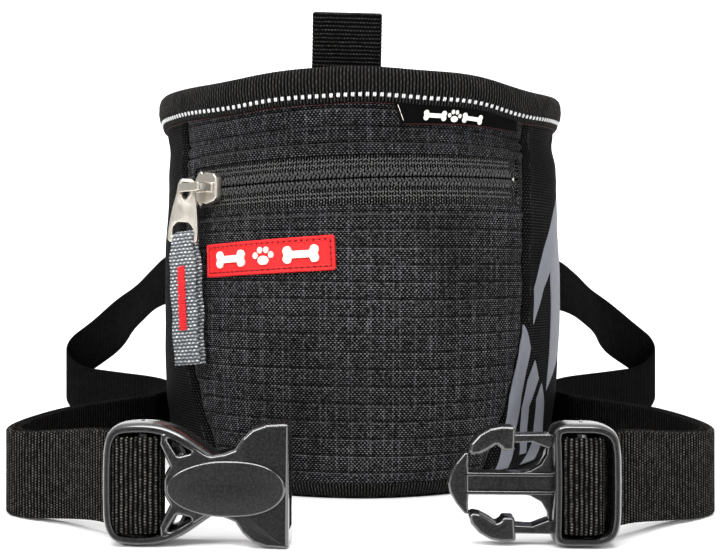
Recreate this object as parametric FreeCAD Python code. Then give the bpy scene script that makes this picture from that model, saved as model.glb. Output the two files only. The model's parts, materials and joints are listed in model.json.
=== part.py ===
import FreeCAD, Part
import math
import os
from FreeCAD import Placement, Rotation, Vector

# Treat pouch on a waist belt, standing on its base. Millimetres, +Z up.
# Origin: the centre of the half-round front wall, on the underside of the base.
# The front faces -Y and the right side is +X. A bearing is an angle about +Z,
# measured from the front towards the right side.

# ---- driving dimensions ----------------------------------------------------------------

WEBBING_WIDTH = 25.0
WEBBING_THICKNESS = 1.6
RIM_TOP_Z = 135.7
RIM_BINDING_HEIGHT = 11.2
BACK_Y = 38.0
BACK_CORNER_RADIUS = 14.0
CLOTH = 1.2
LINING = 0.8
SEWN_GAP = 0.1

# Radius of the outer cloth face at each height: rounded foot, soft belly, pinch, flared rim.
WALL_OUTLINE = [
    (66.0, 0.0), (69.8, 6.0), (71.6, 20.0), (72.7, 42.0), (73.0, 65.0),
    (72.3, 92.0), (71.2, 108.0), (70.8, 117.0), (72.5, 123.0), (74.3, 128.0), (74.4, 137.0),
]
WIDEST = 74.4

# The front panel's side seams, as half-widths of the front: upright above, drawn in below.
SEAM_HALF_WIDTH = 57.4
SEAM_BEND_Z = 62.0
SEAM_LOW_HALF_WIDTH = 46.0
SEAM_LOW_Z = 15.0
SEAM_FOOT_HALF_WIDTH = 40.0

ZIP_HALF_WIDTH = 54.0
ZIP_COIL_HALF_WIDTH = 52.2
ZIP_LOW_Z = 92.6
ZIP_HIGH_Z = 108.1
ZIP_LINE_Z = 100.8
ZIP_TILT = 1.9
ZIP_COIL_WIDTH = 1.8
SLIDER_BEARING = -41.0
SLIDER_RADIUS = 72.0
SLIDER_LENGTH = 11.5
SLIDER_HEIGHT = 12.0

BAIL_NOSE_X = -6.6
BAIL_OUTER_Y = -9.4

PULL_BEARING = -20.0
PULL_LEAN = 9.0
PULL_LENGTH = 21.0
PULL_THICKNESS = 1.4
PULL_TOP_WIDTH = 7.4
PULL_FOOT_WIDTH = 11.0
PULL_HOLE_TO_BAR = 17.0
PULL_ABOVE_PIVOT = 3.0
PULL_LOOP_LENGTH = 44.0
PULL_LOOP_WIDTH = 10.4
PULL_LOOP_THICKNESS = 4.0
PULL_LOOP_LEAN = -6.0

PATCH_CENTRE = (-26.1, 76.5)
PATCH_SIZE = (42.4, 11.2)
PATCH_TILT = 3.0
LABEL_SIDES = (13.0, 54.5)
LABEL_LOW_Z = 117.9
TAB_SIDES = (-13.0, 9.0)
TAB_TOP_Z = 153.4

BUCKLE_HEIGHT = 33.2
BUCKLE_DEPTH = 9.6
BUCKLE_BAR_AT = 10.0
BUCKLE_BAR_RADIUS = 2.0
BUCKLE_WINDOW_LOW = 3.2
BUCKLE_WINDOW_HIGH = 28.9
FEMALE_BUCKLE_END = (-63.0, -119.0)
MALE_BUCKLE_END = (72.0, -116.5)
FEMALE_LENGTH = 48.9
PRONG_PIVOT = (20.2, 28.4)

# Webbing routes, at mid-width: out of the back tunnel, down to the table, then standing
# on edge back past the pouch and round a tight corner to the buckle.
ON_TABLE = WEBBING_WIDTH / 2
AT_BUCKLE = 16.05
LEFT_ROUTE = [
    (-50.8, 39.7, 67.5), (-74.0, 47.0, 65.5), (-102.7, 74.5, 54.0), (-131.7, 103.5, 41.0),
    (-150.0, 112.8, 28.0), (-153.7, 102.7, ON_TABLE), (-122.9, 80.8, ON_TABLE),
    (-90.0, 54.9, ON_TABLE), (-77.8, 22.3, ON_TABLE), (-77.1, 0.3, ON_TABLE),
    (-89.3, -21.1, ON_TABLE), (-100.7, -39.5, ON_TABLE), (-104.7, -68.7, ON_TABLE),
    (-102.9, -88.6, ON_TABLE), (-94.7, -95.4, ON_TABLE), (-81.0, -101.0, 14.0),
    (-69.2, -109.9, AT_BUCKLE),
]
RIGHT_ROUTE = [
    (50.8, 39.7, 67.5), (72.0, 50.0, 65.5), (97.2, 81.4, 54.0), (124.1, 112.4, 41.0),
    (141.8, 123.0, 28.0), (146.1, 113.1, ON_TABLE), (116.9, 89.1, ON_TABLE),
    (85.9, 61.1, ON_TABLE), (76.8, 27.7, ON_TABLE), (77.2, 5.7, ON_TABLE),
    (90.5, -14.9, ON_TABLE), (103.2, -32.4, ON_TABLE), (109.2, -61.3, ON_TABLE),
    (108.9, -81.4, ON_TABLE), (101.6, -89.0, ON_TABLE), (89.0, -97.5, 14.0),
    (78.2, -107.4, AT_BUCKLE),
]
LEFT_TAIL_ROUTE = [
    (-67.7, -107.8, AT_BUCKLE), (-79.5, -98.7, 14.0), (-93.2, -93.2, ON_TABLE),
    (-100.3, -86.6, ON_TABLE), (-102.2, -68.6, ON_TABLE), (-98.4, -40.6, ON_TABLE),
    (-87.3, -22.4, ON_TABLE), (-78.4, -7.0, ON_TABLE),
]
RIGHT_TAIL_ROUTE = [
    (76.7, -105.3, AT_BUCKLE), (87.5, -95.2, 14.0), (99.4, -87.1, ON_TABLE),
    (106.3, -80.2, ON_TABLE), (106.8, -61.4, ON_TABLE), (101.0, -33.6, ON_TABLE),
    (88.4, -16.6, ON_TABLE), (80.2, -4.2, ON_TABLE),
]
# The webbing round a buckle's bar, in the buckle's own plan (inwards, backwards).
END_LOOP_IN = [(-4.9, 8.1), (1.6, 3.6), (4.6, 1.6), (8.2, -3.0), (BUCKLE_BAR_AT, -3.0)]
END_LOOP_OUT = [(BUCKLE_BAR_AT, 3.0), (4.5, 5.4), (-3.4, 10.3)]

# ---- small helpers ---------------------------------------------------------------------

BIG = 400.0


def block(x, y, z):
    """Box between three (low, high) pairs."""
    size = [high - low for low, high in (x, y, z)]
    return Part.makeBox(*size, Vector(x[0], y[0], z[0]))


def outward(bearing):
    angle = math.radians(bearing)
    return Vector(math.sin(angle), -math.cos(angle), 0)


def rightward(bearing):
    angle = math.radians(bearing)
    return Vector(math.cos(angle), math.sin(angle), 0)


def outline(points):
    """Closed wire of straight edges through (x, y, z) points."""
    return Part.makePolygon([Vector(*p) for p in points] + [Vector(*points[0])])


def prism_y(points, y_low, y_high):
    """Prism of an (x, z) outline, along Y."""
    face = Part.Face(outline([(x, y_low, z) for x, z in points]))
    return face.extrude(Vector(0, y_high - y_low, 0))


def round_edges(solid, radius, direction):
    """Fillet the straight edges that run along a direction."""
    edges = [
        e for e in solid.Edges
        if e.Curve.TypeId == "Part::GeomLine" and abs(e.Curve.Direction.dot(direction)) > 0.999
    ]
    return solid.makeFillet(radius, edges)


def one_solid(shape):
    """The single solid of a boolean result."""
    return shape.removeSplitter().Solids[0]


def half_space_front():
    return block((-BIG, BIG), (-BIG, 0), (-BIG, BIG))


def zip_band(half_width, z_low, z_high):
    """Everything in front of the origin between two heights, tilted as the zip is."""
    band = block((-half_width, half_width), (-BIG, 0), (z_low, z_high))
    band.rotate(Vector(0, 0, ZIP_LINE_Z), Vector(0, 1, 0), -ZIP_TILT)
    return band


def zip_height(bearing, radius):
    """Height of the zip's line at a bearing; it rises to the right."""
    return ZIP_LINE_Z + outward(bearing).x * radius * math.tan(math.radians(ZIP_TILT))


# ---- pouch body ------------------------------------------------------------------------


def wall_edge(inset, side):
    """The wall's upright outline, on the right (side 1) or left (side -1) of the origin."""
    curve = Part.BSplineCurve()
    curve.interpolate([Vector(side * (radius - inset), 0, z) for radius, z in WALL_OUTLINE])
    return curve.toShape()


def pouch_form(inset, z_low, z_high):
    """The pouch as a solid, its faces moved inwards by inset and trimmed between heights."""
    top = WALL_OUTLINE[-1][1]
    right, left = wall_edge(inset, 1), wall_edge(inset, -1)
    foot, brim = WALL_OUTLINE[0][0] - inset, WALL_OUTLINE[-1][0] - inset
    half = Part.Wire([
        right,
        Part.LineSegment(Vector(brim, 0, top), Vector(0, 0, top)).toShape(),
        Part.LineSegment(Vector(0, 0, top), Vector(0, 0, 0)).toShape(),
        Part.LineSegment(Vector(0, 0, 0), Vector(foot, 0, 0)).toShape(),
    ])
    front = Part.Face(half).revolve(Vector(0, 0, 0), Vector(0, 0, 1), -180)
    whole = Part.Wire(Part.__sortEdges__([
        right,
        Part.LineSegment(Vector(brim, 0, top), Vector(-brim, 0, top)).toShape(),
        left,
        Part.LineSegment(Vector(-foot, 0, 0), Vector(foot, 0, 0)).toShape(),
    ]))
    rear = Part.Face(whole).extrude(Vector(0, BACK_Y - inset, 0))
    corners = block(
        (inset - WIDEST, WIDEST - inset), (-BACK_Y, BACK_Y - inset), (-1.0, top + 1.0)
    )
    back_corners = [
        e for e in corners.Edges
        if e.BoundBox.YMin > 0 and e.BoundBox.ZLength > top and e.BoundBox.XLength < 1
    ]
    corners = corners.makeFillet(BACK_CORNER_RADIUS - inset, back_corners)
    form = front.fuse(rear.common(corners)).removeSplitter()
    return form.common(block((-BIG, BIG), (-BIG, BIG), (z_low, z_high)))


def wall(outer_inset, inner_inset, z_low, z_high):
    """A layer of the pouch's wall, open at top and bottom."""
    return pouch_form(outer_inset, z_low, z_high).cut(pouch_form(inner_inset, z_low, z_high))


def front_prism(shrink):
    """Everything in front, between the two curved side seams."""
    curve = Part.BSplineCurve()
    curve.interpolate([
        Vector(SEAM_HALF_WIDTH - shrink, 0, SEAM_BEND_Z),
        Vector(SEAM_HALF_WIDTH - 4.0 - shrink, 0, (SEAM_BEND_Z + SEAM_LOW_Z) / 2),
        Vector(SEAM_LOW_HALF_WIDTH - shrink, 0, SEAM_LOW_Z),
        Vector(SEAM_FOOT_HALF_WIDTH - shrink, 0, -1.0),
    ])
    right = [
        Part.LineSegment(
            Vector(SEAM_HALF_WIDTH - shrink, 0, RIM_TOP_Z + 5),
            Vector(SEAM_HALF_WIDTH - shrink, 0, SEAM_BEND_Z),
        ).toShape(),
        curve.toShape(),
    ]
    left = [e.mirror(Vector(0, 0, 0), Vector(1, 0, 0)) for e in right]
    foot = SEAM_FOOT_HALF_WIDTH - shrink
    head = SEAM_HALF_WIDTH - shrink
    ends = [
        Part.LineSegment(Vector(foot, 0, -1.0), Vector(-foot, 0, -1.0)).toShape(),
        Part.LineSegment(Vector(head, 0, RIM_TOP_Z + 5), Vector(-head, 0, RIM_TOP_Z + 5)).toShape(),
    ]
    wire = Part.Wire(Part.__sortEdges__(right + left + ends))
    return Part.Face(wire).extrude(Vector(0, -BIG, 0))


def body_panels():
    """Outer cloth: front panel, yoke, two sides and the back, joined edge to edge."""
    floor, top = 1.5, 134.4
    cloth = wall(0, CLOTH, floor, top)
    front = cloth.common(front_prism(0.05))
    zip_window = zip_band(ZIP_HALF_WIDTH + 0.1, ZIP_LOW_Z - 0.1, BIG)
    lower = front.common(zip_band(BIG, -BIG, ZIP_HIGH_Z)).cut(zip_window)
    yoke = front.common(zip_band(BIG, ZIP_HIGH_Z + 0.1, BIG))
    back_slab = block((-58.0, 58.0), (BACK_Y - 3.0, BIG), (0, BIG))
    sides = cloth.cut(front_prism(-0.05)).cut(block((-58.1, 58.1), (BACK_Y - 3.1, BIG), (0, BIG)))
    left = sides.common(block((-BIG, 0), (-BIG, BIG), (0, BIG)))
    right = sides.common(block((0, BIG), (-BIG, BIG), (0, BIG)))
    return {
        "front_panel": one_solid(lower),
        "front_yoke": one_solid(yoke),
        "left_side_panel": one_solid(left),
        "right_side_panel": one_solid(right),
        "back_panel": one_solid(cloth.common(back_slab)),
    }


def body_inner_parts():
    """Base, lining, pocket bag, rim hoop and the tape round the bottom seam."""
    lining_outer = 2.0
    lining_inner = lining_outer + LINING
    lining = pouch_form(lining_outer, 1.8, 134.4).cut(pouch_form(lining_inner, 2.6, 140.0))
    pocket = wall(1.3, 1.9, 20.0, ZIP_HIGH_Z + 4.4).common(
        block((-50.0, 50.0), (-BIG, 0), (0, BIG))
    )
    base_tape = wall(-0.9, -SEWN_GAP, 0.4, 5.0)
    return {
        "base_panel": one_solid(pouch_form(0, 0, 1.4)),
        "base_binding": one_solid(base_tape),
        "lining": one_solid(lining),
        "pocket_bag": one_solid(pocket),
        "rim_stiffener": one_solid(wall(1.3, 1.9, 125.5, 133.5)),
    }


def rim_parts():
    """Binding folded over the rim, its reflective stitch row and the webbing tab."""
    low = RIM_TOP_Z - RIM_BINDING_HEIGHT
    sleeve = wall(-1.3, 4.1, low, RIM_TOP_Z)
    binding = sleeve.cut(wall(-SEWN_GAP, 2.9, low - 1.0, 134.5))
    thread = wall(-1.7, -1.35, low + 1.5, low + 2.7)
    tab = block(TAB_SIDES, (-67.6, -64.6), (low + 1.0, TAB_TOP_Z))
    tab = tab.makeFillet(1.4, [
        e for e in tab.Edges if e.BoundBox.ZMin > RIM_TOP_Z and e.BoundBox.XLength > 10
    ])
    return {
        "rim_binding": one_solid(binding),
        "rim_reflective_thread": one_solid(thread),
        "front_tab": tab,
    }


def front_badges():
    """The side label, the rubber patch and the patch's raised marks."""
    under_binding = RIM_TOP_Z - RIM_BINDING_HEIGHT - 0.2
    label = wall(-0.6, -SEWN_GAP, LABEL_LOW_Z, under_binding).common(
        block(LABEL_SIDES, (-BIG, 0), (0, BIG))
    )
    return {
        "side_label": one_solid(label),
        "patch": one_solid(on_patch([patch_plate()], -1.5, -SEWN_GAP)),
        "patch_emblem": on_patch(emblem_outlines(), -2.0, -1.55),
    }


def patch_plate():
    half_width, half_height = PATCH_SIZE[0] / 2, PATCH_SIZE[1] / 2
    plate = block((-half_width, half_width), (-BIG, 0), (-half_height, half_height))
    return round_edges(plate, 1.2, Vector(0, 1, 0))


def emblem_outlines():
    """Two dog bones and a paw print, as prisms along Y about the patch's centre."""
    pieces = []
    for centre in (-12.5, 12.5):
        shaft = block((centre - 4.6, centre + 4.6), (-BIG, 0), (-1.1, 1.1))
        for x in (centre - 4.8, centre + 4.8):
            for z in (-1.3, 1.3):
                knob = Part.makeCylinder(1.55, BIG, Vector(x, 0, z), Vector(0, -1, 0))
                shaft = shaft.fuse(knob)
        pieces.append(shaft.removeSplitter())
    pieces.append(Part.makeCylinder(1.7, BIG, Vector(0, 0, -1.3), Vector(0, -1, 0)))
    for x, z in ((-2.7, 0.5), (-1.0, 2.2), (1.0, 2.2), (2.7, 0.5)):
        pieces.append(Part.makeCylinder(0.8, BIG, Vector(x, 0, z), Vector(0, -1, 0)))
    return pieces


def on_patch(prisms, outer_inset, inner_inset):
    """Lay prisms made about the patch's centre onto the front wall."""
    layer = wall(outer_inset, inner_inset, 60.0, 92.0).common(half_space_front())
    place = Placement(
        Vector(PATCH_CENTRE[0], 0, PATCH_CENTRE[1]), Rotation(Vector(0, 1, 0), -PATCH_TILT)
    )
    laid = []
    for prism in prisms:
        prism.Placement = place
        laid += layer.common(prism).Solids
    return Part.makeCompound(laid)


def side_print():
    """Thin reflective film: tapering slanted stripes low on the right side."""
    stripes = [
        [(-46.0, 8.0), (-36.0, 8.0), (-26.5, 62.0), (-28.5, 62.0)],
        [(-31.0, 8.0), (-23.0, 8.0), (-15.5, 80.0), (-17.5, 80.0)],
        [(-18.0, 8.0), (-11.0, 8.0), (-5.0, 92.0), (-7.0, 92.0)],
    ]
    film = wall(-0.3, -SEWN_GAP, 6.5, 96.0).cut(front_prism(-1.0))
    pieces = []
    for stripe in stripes:
        face = Part.Face(outline([(0, y, z) for y, z in stripe]))
        pieces += film.common(face.extrude(Vector(BIG, 0, 0))).Solids
    return Part.makeCompound(pieces)


# ---- pocket zip ------------------------------------------------------------------------


def zip_chain():
    """Tapes, coils and end stops, let into the slot in the front."""
    coil_low = ZIP_LINE_Z - ZIP_COIL_WIDTH / 2
    coil_high = ZIP_LINE_Z + ZIP_COIL_WIDTH / 2
    tape = wall(0.3, CLOTH, ZIP_LOW_Z - 4.0, ZIP_HIGH_Z + 4.0)
    coil = wall(0.0, CLOTH, coil_low - 4.0, coil_high + 4.0)
    parts = {
        "zip_lower_tape": tape.common(zip_band(ZIP_HALF_WIDTH, ZIP_LOW_Z, coil_low - 0.05)),
        "zip_upper_tape": tape.common(zip_band(ZIP_HALF_WIDTH, coil_high + 0.05, ZIP_HIGH_Z)),
        "zip_coils": coil.common(zip_band(ZIP_COIL_HALF_WIDTH, coil_low, coil_high)),
    }
    parts = {name: one_solid(shape) for name, shape in parts.items()}
    for name, bearing in (("zip_left_stop", -47.5), ("zip_right_stop", 47.5)):
        stop = block((-0.7, 0.7), (-1.6, 0), (-2.2, 2.2))
        stop.Placement = wall_place(bearing, 71.75, zip_height(bearing, 71.75))
        parts[name] = stop
    return parts


def wall_place(bearing, radius, z):
    """Local X to the right, -Y outwards, Z up, at a point on the front wall."""
    point = outward(bearing) * radius
    return Placement(Vector(point.x, point.y, z), Rotation(Vector(0, 0, 1), bearing))


def zip_slider():
    """Diamond-shouldered slider body and a square bail, hooked over to the left."""
    half, high = SLIDER_LENGTH / 2, SLIDER_HEIGHT / 2
    shoulder = [
        (-half, 1.6), (-half + 3.0, high - 0.8), (-half + 4.4, high), (-half + 6.2, high - 1.4),
        (half - 0.6, high - 1.6), (half, high - 2.6),
    ]
    body = prism_y(shoulder + [(x, -z) for x, z in reversed(shoulder)], -3.2, -0.35)
    arm = block((BAIL_NOSE_X - 0.8, 4.6), (BAIL_OUTER_Y, BAIL_OUTER_Y + 1.0), (-1.4, 1.4))
    post = block((3.4, 4.6), (BAIL_OUTER_Y, -3.0), (-1.4, 1.4))
    nose = block((BAIL_NOSE_X - 0.8, BAIL_NOSE_X + 0.3), (BAIL_OUTER_Y, -6.9), (-1.2, 1.2))
    slider = one_solid(body.fuse(arm).fuse(post).fuse(nose))
    slider.Placement = slider_place()
    return slider


def slider_place():
    return wall_place(SLIDER_BEARING, SLIDER_RADIUS, zip_height(SLIDER_BEARING, SLIDER_RADIUS))


def pull_pivot():
    """Where the pull hangs from the bail's nose."""
    nose = Vector(BAIL_NOSE_X, BAIL_OUTER_Y + 2.0, 0)
    return slider_place().multVec(nose)


def pull_place(lean):
    """Frame of the pull at its pivot: X across it, -Y outwards, Z up, leaning in its plane."""
    turn = Rotation(Vector(0, 0, 1), PULL_BEARING).multiply(Rotation(Vector(0, 1, 0), lean))
    return Placement(pull_pivot(), turn)


def bar_point():
    """Centre of the pull's foot bar, round which the webbing loop turns."""
    return pull_place(PULL_LEAN).multVec(Vector(0, 0, -PULL_HOLE_TO_BAR))


def zip_pull():
    """Tapered plate with a rounded upper eye and a wide lower eye."""
    top, foot = PULL_ABOVE_PIVOT, PULL_ABOVE_PIVOT - PULL_LENGTH
    half_top, half_foot = PULL_TOP_WIDTH / 2, PULL_FOOT_WIDTH / 2
    plate = prism_y(
        [(-half_top, top), (half_top, top), (half_foot, foot + 4.5), (half_foot, foot),
         (-half_foot, foot), (-half_foot, foot + 4.5)],
        -PULL_THICKNESS / 2, PULL_THICKNESS / 2,
    )
    plate = round_edges(plate, 2.0, Vector(0, 1, 0))
    eye = prism_y([(-2.0, 1.8), (2.0, 1.8), (2.3, -1.8), (0, -4.6), (-2.3, -1.8)], -2, 2)
    eye = round_edges(eye, 0.8, Vector(0, 1, 0))
    lower = block((-4.3, 4.3), (-2, 2), (-PULL_HOLE_TO_BAR + 0.2, -PULL_HOLE_TO_BAR + 6.4))
    lower = round_edges(lower, 2.6, Vector(0, 1, 0))
    low_slot = block((-4.3, 4.3), (-2, 2), (foot - 1.0, -PULL_HOLE_TO_BAR + 3.6))
    bar = Part.makeCylinder(
        0.7, 9.6, Vector(-4.8, 0, -PULL_HOLE_TO_BAR), Vector(1, 0, 0)
    )
    pull = one_solid(plate.cut(eye).cut(lower).cut(low_slot).fuse(bar))
    pull.Placement = pull_place(PULL_LEAN)
    return pull


def pull_webbing_loop():
    """Folded webbing: narrow where it goes round the bar, full width below."""
    half = PULL_LOOP_THICKNESS / 2
    top = 2.9
    neck = block((-3.0, 3.0), (-half, half), (-5.6, top))
    neck = round_edges(neck, half - 0.1, Vector(1, 0, 0))
    slot = block((-4.0, 4.0), (-1.0, 1.0), (-3.6, 1.7))
    slot = round_edges(slot, 0.9, Vector(1, 0, 0))
    wide = block(
        (-PULL_LOOP_WIDTH / 2, PULL_LOOP_WIDTH / 2), (-half, half), (top - PULL_LOOP_LENGTH, -4.4)
    )
    loop = one_solid(neck.fuse(wide).cut(slot))
    place = Placement(bar_point(), pull_place(PULL_LOOP_LEAN).Rotation)
    loop.Placement = place
    bartack = block((-1.5, 1.5), (-half - 0.6, -half - 0.05), (-29.6, -8.9))
    bartack.Placement = place
    return {"pull_webbing_loop": loop, "pull_bartack": bartack}


# ---- belt ------------------------------------------------------------------------------


def rounded_route(points, name):
    """Straight runs joined by tangent arcs, each as large as its two runs allow."""
    points = [Vector(*p) for p in points]
    edges, radii = [], []
    start = points[0]
    for before, here, after in zip(points, points[1:], points[2:]):
        arriving, leaving = here - before, after - here
        reach = 0.45 * min(arriving.Length, leaving.Length)
        arriving.normalize()
        leaving.normalize()
        half_turn = arriving.getAngle(leaving) / 2
        radius = reach / math.tan(half_turn)
        inwards = leaving - arriving
        inwards.normalize()
        arc_start, arc_end = here - arriving * reach, here + leaving * reach
        middle = here + inwards * (radius / math.cos(half_turn) - radius)
        edges.append(Part.LineSegment(start, arc_start).toShape())
        edges.append(Part.Arc(arc_start, middle, arc_end).toShape())
        radii.append(round(radius, 1))
        start = arc_end
    edges.append(Part.LineSegment(start, points[-1]).toShape())
    route = Part.Wire(edges)
    print(f"{name}: length {route.Length:.1f} mm, radii {radii}")
    return route


def webbing(route, name):
    """A ribbon that stays on edge, swept along a route through its mid-width."""
    wire = rounded_route(route, name)
    start = Vector(*route[0])
    along = Vector(*route[1]) - start
    along.z = 0
    along.normalize()
    across = Vector(-along.y, along.x, 0) * (WEBBING_THICKNESS / 2)
    up = Vector(0, 0, WEBBING_WIDTH / 2)
    corners = [start + across + up, start - across + up, start - across - up, start + across - up]
    profile = Part.makePolygon(corners + corners[:1])
    sweep = Part.BRepOffsetAPI.MakePipeShell(wire)
    sweep.setBiNormalMode(Vector(0, 0, 1))
    sweep.add(profile)
    sweep.build()
    sweep.makeSolid()
    ribbon = sweep.shape()
    ribbon = ribbon.Solids[0] if ribbon.Solids else Part.Solid(ribbon)
    section = WEBBING_WIDTH * WEBBING_THICKNESS
    print(f"{name}: volume {ribbon.Volume:.0f}, section times length {section * wire.Length:.0f} mm3")
    return ribbon


def end_loop(name):
    """Webbing wrapped round a buckle's bar, both layers behind the end of the frame."""
    low = AT_BUCKLE - WEBBING_WIDTH / 2
    here = [Vector(u, v, low) for u, v in END_LOOP_IN]
    back = [Vector(u, v, low) for u, v in END_LOOP_OUT]
    far_side = Vector(BUCKLE_BAR_AT + 3.0, 0, low)
    edges = [Part.LineSegment(a, b).toShape() for a, b in zip(here, here[1:])]
    edges.append(Part.Arc(here[-1], far_side, back[0]).toShape())
    edges += [Part.LineSegment(a, b).toShape() for a, b in zip(back, back[1:])]
    centre = Part.Wire(edges)
    print(f"{name}: length {centre.Length:.1f} mm")
    band = centre.makeOffset2D(WEBBING_THICKNESS / 2, 0, True, True, False)
    solid = band.extrude(Vector(0, 0, WEBBING_WIDTH))
    return one_solid(solid)


def belt_parts():
    """Tunnel on the back, webbing through it, the two free sides and their tails."""
    tunnel = block((-48.0, 48.0), (BACK_Y + 0.1, 42.4), (50.0, 86.0))
    tunnel = tunnel.cut(block((-BIG, BIG), (0, 41.2), (54.0, 82.0)))
    centre = block((-50.0, 50.0), (38.9, 38.9 + WEBBING_THICKNESS), (55.0, 80.0))
    return {
        "belt_sleeve": one_solid(tunnel),
        "belt_centre": centre,
        "left_belt": webbing(LEFT_ROUTE, "left belt"),
        "right_belt": webbing(RIGHT_ROUTE, "right belt"),
        "left_belt_tail": webbing(LEFT_TAIL_ROUTE, "left belt tail"),
        "right_belt_tail": webbing(RIGHT_TAIL_ROUTE, "right belt tail"),
    }


# ---- buckles ---------------------------------------------------------------------------
# Both halves are drawn with X inwards from the webbing end, Y backwards and Z up.


def place_buckle(shape, end, facing):
    """Set a buckle half at its place; facing -1 turns it end for end."""
    placed = shape if facing > 0 else shape.mirror(Vector(0, 0, 0), Vector(1, 0, 0))
    placed.translate(Vector(end[0], end[1], 0))
    return placed


def mirrored_z(points):
    """An upper outline and its mirror image below the buckle's middle, as one loop."""
    return points + [(x, BUCKLE_HEIGHT - z) for x, z in reversed(points)]


def upright_bar(radius, at):
    return Part.makeCylinder(radius, BUCKLE_HEIGHT - 3.0, Vector(at, 0, 1.5), Vector(0, 0, 1))


def female_buckle():
    """Socket half: webbing frame, waisted body with a raised pad, open mouth and side gaps."""
    half = BUCKLE_DEPTH / 2
    upper = [
        (0.0, 22.0), (0.6, 28.4), (2.4, 31.8), (5.6, 33.2), (13.1, 33.2), (17.9, 31.9),
        (23.3, 28.4), (28.1, 24.9), (29.9, 24.6), (36.2, 26.2), (38.8, 29.7), (41.5, 32.1),
        (44.2, 33.0), (FEMALE_LENGTH, 33.2),
    ]
    body = prism_y(mirrored_z(upper), -half, half)
    rounding = 1.2
    rims = [e for e in body.Edges if e.BoundBox.YLength < 0.01 and e.BoundBox.XMax < FEMALE_LENGTH - 1]
    body = body.makeFillet(rounding, rims)
    window = block((2.2, 15.6), (-half - 1, half + 1), (BUCKLE_WINDOW_LOW, BUCKLE_WINDOW_HIGH))
    window = window.fuse(prism_y(
        mirrored_z([(15.5, 28.0), (17.2, 24.0), (17.9, 21.0), (16.8, 18.4)]), -half - 1, half + 1
    ))
    body = body.cut(window)
    gap = [(17.2, 29.6), (19.4, 29.2), (24.6, 25.6), (20.2, 24.4)]
    for points in (gap, [(x, BUCKLE_HEIGHT - z) for x, z in gap]):
        body = body.cut(prism_y(points, -half - 1, half + 1))
    cavity = block((26.0, FEMALE_LENGTH + 1), (-2.9, 2.9), (4.6, BUCKLE_HEIGHT - 4.6))
    side_gaps = block((26.5, 38.0), (-2.9, 2.9), (-1, BUCKLE_HEIGHT + 1))
    body = body.cut(cavity).cut(side_gaps)
    behind = block((-1, 2.3), (0.7, half + 1), (BUCKLE_WINDOW_LOW, BUCKLE_WINDOW_HIGH))
    body = body.cut(behind).fuse(upright_bar(BUCKLE_BAR_RADIUS, BUCKLE_BAR_AT))
    pad = Part.makeCylinder(1.0, 0.9, Vector(0, 0, 0), Vector(0, -1, 0))
    stretch = FreeCAD.Matrix()
    stretch.scale(15.2, 1.0, 8.0)
    pad = pad.transformGeometry(stretch)
    pad.translate(Vector(32.4, -half + 0.1, BUCKLE_HEIGHT / 2))
    return one_solid(body.fuse(pad))


def male_buckle():
    """Plug half without its arms: webbing frame, bars and the arrow-headed centre spear."""
    half = BUCKLE_DEPTH / 2
    middle = BUCKLE_HEIGHT / 2
    head = prism_y(
        mirrored_z([(0.0, 24.0), (0.6, 28.4), (2.4, 31.8), (5.6, 33.2), (18.1, 33.2)]), -half, half
    )
    rims = [e for e in head.Edges if e.BoundBox.YLength < 0.01 and e.BoundBox.XMin < 17]
    head = head.makeFillet(1.2, rims)
    head = head.cut(
        block((2.4, 15.4), (-half - 1, half + 1), (BUCKLE_WINDOW_LOW, BUCKLE_WINDOW_HIGH))
    )
    head = head.cut(block((-1, 3.5), (0.7, half + 1), (BUCKLE_WINDOW_LOW, BUCKLE_WINDOW_HIGH)))
    head = head.fuse(upright_bar(BUCKLE_BAR_RADIUS, BUCKLE_BAR_AT))
    shank = block((17.0, 41.0), (-1.6, 1.6), (middle - 2.6, middle + 2.6))
    gusset = 6.0
    web = prism_y(
        [(17.5, middle - 2.0), (17.5, middle + 2.0 + gusset), (19.4, middle + 2.0 + gusset * 0.6),
         (23.0, middle + 2.6), (23.0, middle - 2.6), (19.4, middle - 2.0 - gusset * 0.6),
         (17.5, middle - 2.0 - gusset)],
        -1.2, 1.2,
    )
    arrow = prism_y(
        mirrored_z([(40.3, 19.6), (40.0, 24.8), (41.2, 24.4), (43.6, 21.0), (44.8, 17.6)]),
        -2.2, 2.2,
    )
    for part in (shank, web, arrow):
        head = head.fuse(part)
    return one_solid(head)


def prong():
    """Upper flexing arm: a thin arm and a finger-shaped latch head, hooked on its under side."""
    pivot_x, pivot_z = PRONG_PIVOT
    root = Part.makeCylinder(1.5, 5.2, Vector(pivot_x, -2.6, pivot_z), Vector(0, 1, 0))
    arm = prism_y(
        [(pivot_x, pivot_z + 1.4), (28.6, pivot_z + 1.3), (28.6, pivot_z - 1.1),
         (pivot_x, pivot_z - 1.3)],
        -2.6, 2.6,
    )
    head = prism_y(
        [(27.4, 32.1), (33.0, 31.8), (37.0, 29.8), (39.4, 26.6), (39.2, 24.9), (37.6, 24.4),
         (34.6, 25.4), (32.0, 27.0), (30.6, 25.6), (27.6, 25.7), (27.4, 28.0)],
        -2.6, 2.6,
    )
    rims = [e for e in head.Edges if e.BoundBox.YLength < 0.01]
    head = head.makeFillet(0.5, rims)
    return one_solid(root.fuse(arm).fuse(head))


def buckle_parts():
    upper = prong()
    lower = upper.mirror(Vector(0, 0, BUCKLE_HEIGHT / 2), Vector(0, 0, 1))
    left = {"female_buckle": female_buckle(), "left_belt_end_loop": end_loop("left end loop")}
    right = {
        "male_buckle": male_buckle(),
        "right_belt_end_loop": end_loop("right end loop"),
        "upper_prong": upper,
        "lower_prong": lower,
    }
    parts = {name: place_buckle(shape, FEMALE_BUCKLE_END, 1) for name, shape in left.items()}
    for name, shape in right.items():
        parts[name] = place_buckle(shape, MALE_BUCKLE_END, -1)
    return parts


# ---- the whole part --------------------------------------------------------------------


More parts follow.
